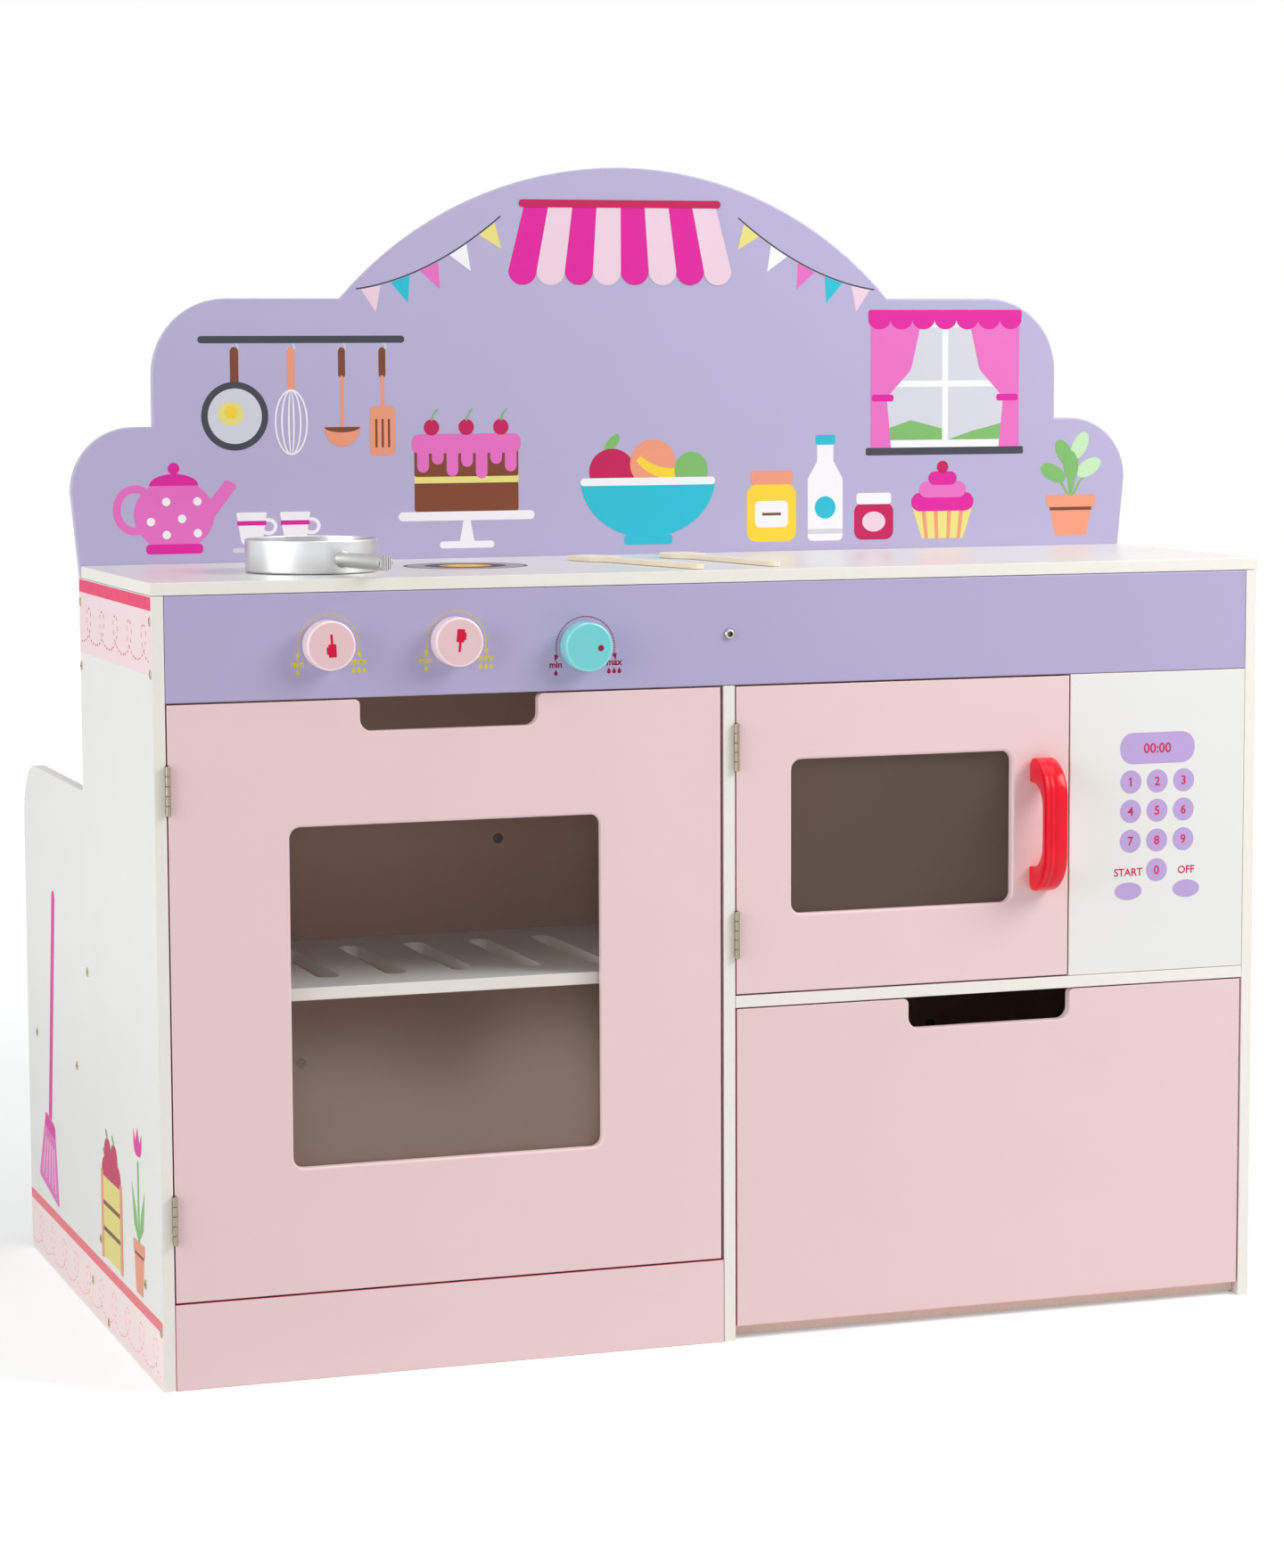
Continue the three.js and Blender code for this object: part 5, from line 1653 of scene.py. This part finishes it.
class SetSaucepan(bpy.types.Operator):
    """Makes the spun saucepan with its rolled rim and its rod handle"""

    bl_idname = "toy_kitchen.set_saucepan"
    bl_label = "Set saucepan"

    # The sheet's thickness, the rounding of the base outside and inside, how far the middle of
    # the base stands clear and how far it is domed
    wall = 1.5
    base_round = 1.6
    inner_round = 3.0
    foot = 0.6
    dish = 0.15
    sides = 96
    # The rod's turn from straight ahead in degrees, its reach past the pan, and its weld
    handle_turn = 13.0
    handle_length = 65.3
    handle_sides = 48
    weld = 0.7
    groove_pitch = 1.7
    groove_width = 0.7
    groove_depth = 0.8

    def execute(self, context):
        settings = context.scene.toy_kitchen_fittings
        low, high = extent("saucepan")
        middle, radius = (low + high) / 2, (high.x - low.x) / 2
        outside, inside = self.profiles(radius, high.z - low.z)
        mesh_data = bmesh.new()
        faces = turned(mesh_data, outside + inside, Matrix.Identity(4), self.sides)
        # The inner faces take the darker copy of the metal: painted shade inside the pan.
        for face in faces[(len(outside) - 1) * self.sides:]:
            face.material_index = 1
        spun_metal = [
            turned_aluminium("spun_aluminium", settings.aluminium),
            turned_aluminium("spun_aluminium_inside", settings.pan_inside),
        ]
        pan = stand_in("saucepan", mesh_data, spun_metal)
        pan.matrix_world = Matrix.Translation(spot(middle.x, middle.y, low.z))
        self.add_handle(settings, middle, radius)
        return {"FINISHED"}

    def profiles(self, radius, height):
        """The pan's outline from the middle of its base over the rim, and then inside it."""
        wall, base, rim, soft = self.wall, self.base_round, self.wall / 2, self.inner_round
        inner, floor = radius - wall, wall + self.dish
        outside = [
            (0.0, self.foot),
            (radius * 0.8, self.foot),
            (radius * 0.82, 0.0),
            (radius - base, 0.0),
            *arc((radius - base, base), (base, base), -70, 70, 5),
            (radius, height - rim * 1.6),
            *arc((radius - rim, height - rim), (rim, rim), 0, 180, 8),
        ]
        inside = arc((inner - soft, wall + soft), (soft, soft), 0, -90, 6)
        return outside, inside + [(inner * 0.5, wall), (inner * 0.48, floor), (0.0, floor)]

    def add_handle(self, settings, middle, pan_radius):
        low, high = extent("saucepan_handle")
        radius = (high.z - low.z) / 2
        angle = math.radians(self.handle_turn)
        along = Vector((math.sin(angle), -math.cos(angle), 0))
        near = pan_radius - self.wall / 2
        end = pan_radius + self.handle_length - self.groove_depth
        place = toward(spot(middle.x, middle.y, (low.z + high.z) / 2), along)
        profile = [
            (0.0, near),
            (radius + self.weld, near),
            (radius + self.weld * 0.8, near + 1.6),
            (radius, near + 2.8),
            (radius, end),
            (0.0, end),
        ]
        mesh_data = bmesh.new()
        sides = self.handle_sides
        for end_face in turned(mesh_data, profile, place, sides)[-sides:]:
            end_face.material_index = 1
        face = place @ Matrix.Translation((0, 0, end * MM))
        left = -radius + self.groove_pitch * 0.3
        while left < radius - 0.5:
            right = min(left + self.groove_pitch - self.groove_width, radius - 0.15)
            first, last = [math.degrees(math.acos(side / radius)) for side in (left, right)]
            ring = [
                point for start in (last, -first)
                for point in arc((0, 0), (radius, radius), start, first - last, 4)
            ]
            slab(mesh_data, flat_mesh([ring]), self.groove_depth, face)
            left += self.groove_pitch
        # The rod is brushed round about and dull, and its end face shows dark between the ridges:
        # painted shade in the grooves.
        rod = [
            metal("brushed_aluminium_rod", settings.rod, (0.4, 0.52), 0.8, (1, 6, 1), 0.006),
            metal("sawn_aluminium_rod", settings.groove_shade, (0.5, 0.6), 1, (1, 1, 6), 0.01),
        ]
        stand_in("saucepan_handle", mesh_data, rod)


class SetUtensils(bpy.types.Operator):
    """Makes the flat wooden spatula and spoon with eased edges and grain along each one"""

    bl_idname = "toy_kitchen.set_utensils"
    bl_label = "Set utensils"

    thickness = 3.5
    full_length = 168.0
    stem = 9.0
    stem_round = 3.0
    edge_round = 0.7
    # Where each stem ends on the worktop, its turn in degrees, and the width, the length and
    # the corner radius of its head
    utensils = {
        "spatula": ((412, 15), 13.2, (26, 46, 5)),
        "spoon": ((477, 28), 8.4, (30, 42, 14)),
    }

    def execute(self, context):
        beech = sanded_beech("sanded_beech", context.scene.toy_kitchen_fittings.beech)
        for name, (start, turn, head) in self.utensils.items():
            mesh_data = bmesh.new()
            flat = flat_mesh([self.outline(*head)])
            slab(mesh_data, flat, self.thickness, Matrix.Identity(4))
            piece = stand_in(name, mesh_data, [beech])
            lying = Matrix.Rotation(math.radians(turn), 4, "Z")
            piece.matrix_world = Matrix.Translation(spot(*start, extent(name)[0].z)) @ lying
            bevel = piece.modifiers.new("eased_edges", "BEVEL")
            bevel.width = self.edge_round * MM
            bevel.segments = 3
            bevel.limit_method = "ANGLE"
            bevel.angle_limit = math.radians(50)
        return {"FINISHED"}

    def outline(self, width, reach, radius):
        stem, head, end = self.stem / 2, width / 2, self.full_length
        neck = end - reach
        shoulder = neck + self.stem
        return eased([
            (-stem, 0.0, self.stem_round),
            (stem, 0.0, self.stem_round),
            (stem, neck, self.stem),
            (head, shoulder, radius),
            (head, end, radius),
            (-head, end, radius),
            (-head, shoulder, radius),
            (-stem, neck, self.stem),
        ])


class SetStudio(bpy.types.Operator):
    """Sets the floor, the lamps, the even surround and the camera"""

    bl_idname = "toy_kitchen.set_studio"
    bl_label = "Set studio"

    # Half the floor's width, the distances in metres over which its glow grows, and the glow
    floor_half = 9.0
    glow_from, glow_to = 1.1, 2.4
    glow = (0.36, 0.8)
    aim = Vector((0.0, 0.0, 0.45))
    # Each lamp's place and its size in metres
    lamps = {
        "key": ((1.5, -1.2, 1.7), 1.2),
        "fill": ((-3.2, -1.2, 1.3), 2.4),
        "top": ((0.1, -0.6, 3.2), 1.6),
    }
    # The camera, found by fitting corners of the cabinet to their places in the photograph
    camera_place = (-1.0186, -2.9545, 0.7337)
    yaw, pitch, roll = 19.244, 6.203, -0.223
    focal_pixels = 4464.9
    picture_height = 1759
    sensor = 36.0

    def execute(self, context):
        settings = context.scene.toy_kitchen_studio
        self.add_floor(settings)
        self.add_surround(context.scene, settings)
        for name, (place, size) in self.lamps.items():
            light = bpy.data.lights.new(name + "_lamp", "AREA")
            light.shape = "DISK"
            light.size = size
            light.energy = getattr(settings, name + "_power")
            lamp = bpy.data.objects.new(name + "_lamp", light)
            lamp.matrix_world = toward(Vector(place), Vector(place) - self.aim)
            context.scene.collection.objects.link(lamp)
        self.add_camera(context.scene)
        context.scene.view_settings.view_transform = "Standard"
        return {"FINISHED"}

    def add_floor(self, settings):
        mesh_data = bmesh.new()
        bmesh.ops.create_grid(mesh_data, x_segments=12, y_segments=12, size=self.floor_half)
        mesh = bpy.data.meshes.new("studio_floor")
        mesh_data.to_mesh(mesh)
        mesh_data.free()
        floor = bpy.data.objects.new("studio_floor", mesh)
        bpy.context.scene.collection.objects.link(floor)
        made = bpy.data.materials.new("matt_white_paper")
        made.use_nodes = True
        tree = made.node_tree
        tree.nodes.clear()
        place = node(tree, "TexCoord", give="Object")
        reach = node(tree, "VectorMath", {0: place}, "Value", operation="LENGTH")
        # Farther out the paper glows a little, as if more lamps lit it: only to the eye, to
        # gloss and through glass, so that no light is added to the kitchen.
        span = {1: self.glow_from, 2: self.glow_to, 3: self.glow[0], 4: self.glow[1]}
        glow = node(tree, "MapRange", {"Value": reach, **span})
        strength = node(tree, "Math", {0: glow, 1: self.seen(tree)}, operation="MULTIPLY")
        paper = node(tree, "BsdfDiffuse", {"Color": settings.floor})
        light = node(tree, "Emission", {"Strength": strength})
        both = node(tree, "AddShader", {0: paper, 1: light})
        node(tree, "OutputMaterial", {"Surface": both})
        mesh.materials.append(made)

    def seen(self, tree):
        """1 for rays from the camera, from gloss or through glass, and 0 for the rest."""
        total = node(tree, "LightPath", give="Is Camera Ray")
        for name in ("Is Glossy Ray", "Is Transmission Ray"):
            ray = node(tree, "LightPath", give=name)
            total = node(tree, "Math", {0: total, 1: ray}, operation="MAXIMUM")
        return total

    def add_surround(self, scene, settings):
        world = bpy.data.worlds.new("studio_surround")
        world.use_nodes = True
        scene.world = world
        tree = world.node_tree
        tree.nodes.clear()
        strength = node(tree, "MapRange", {"Value": self.seen(tree), 3: settings.surround, 4: 1.0})
        white = node(tree, "Background", {"Strength": strength, "Color": (1.0, 1.0, 1.0, 1.0)})
        node(tree, "OutputWorld", {"Surface": white})

    def add_camera(self, scene):
        yaw, pitch, roll = [math.radians(angle) for angle in (self.yaw, self.pitch, self.roll)]
        ahead = Vector((math.sin(yaw), math.cos(yaw), 0.0))
        forward = ahead * math.cos(pitch) - Vector(UP) * math.sin(pitch)
        level = Vector((math.cos(yaw), -math.sin(yaw), 0.0))
        rise = level.cross(forward)
        right = math.cos(roll) * level + math.sin(roll) * rise
        up = -math.sin(roll) * level + math.cos(roll) * rise
        lens = bpy.data.cameras.new("camera")
        lens.sensor_width = self.sensor
        lens.lens = self.sensor * self.focal_pixels / self.picture_height
        camera = bpy.data.objects.new("camera", lens)
        camera.matrix_world = surface(self.camera_place, right, up)
        scene.collection.objects.link(camera)
        scene.camera = camera


class ToyKitchenPanel(bpy.types.Panel):
    """Lists the steps that finish the toy kitchen, and their settings"""

    bl_idname = "VIEW3D_PT_toy_kitchen"
    bl_label = "Toy kitchen"
    bl_space_type = "VIEW_3D"
    bl_region_type = "UI"
    bl_category = "Toy kitchen"

    def draw(self, context):
        for step in STEPS:
            self.layout.operator(step.bl_idname)
        for name, group in SETTINGS.items():
            box = self.layout.box()
            values = getattr(context.scene, name)
            for key in group.__annotations__:
                box.prop(values, key)


SETTINGS = {
    "toy_kitchen_boards": BoardSettings,
    "toy_kitchen_prints": PrintSettings,
    "toy_kitchen_fittings": FittingSettings,
    "toy_kitchen_studio": StudioSettings,
}
STEPS = [
    PaintBoards,
    GlazeDoors,
    FitCatches,
    FitHinges,
    FitHandle,
    FitKnobs,
    FitScrews,
    PrintDials,
    PrintKeypad,
    PrintHotPlate,
    PrintBackboard,
    PrintSides,
    SetSaucepan,
    SetUtensils,
    SetStudio,
]


def register():
    for name, group in SETTINGS.items():
        bpy.utils.register_class(group)
        setattr(bpy.types.Scene, name, PointerProperty(type=group))
    for step in [*STEPS, ToyKitchenPanel]:
        bpy.utils.register_class(step)


def unregister():
    for step in [ToyKitchenPanel, *reversed(STEPS)]:
        bpy.utils.unregister_class(step)
    for name, group in SETTINGS.items():
        delattr(bpy.types.Scene, name)
        bpy.utils.unregister_class(group)


def main():
    register()
    for step in STEPS:
        family, name = step.bl_idname.split(".")
        getattr(getattr(bpy.ops, family), name)()


if __name__ == "__main__":
    main()
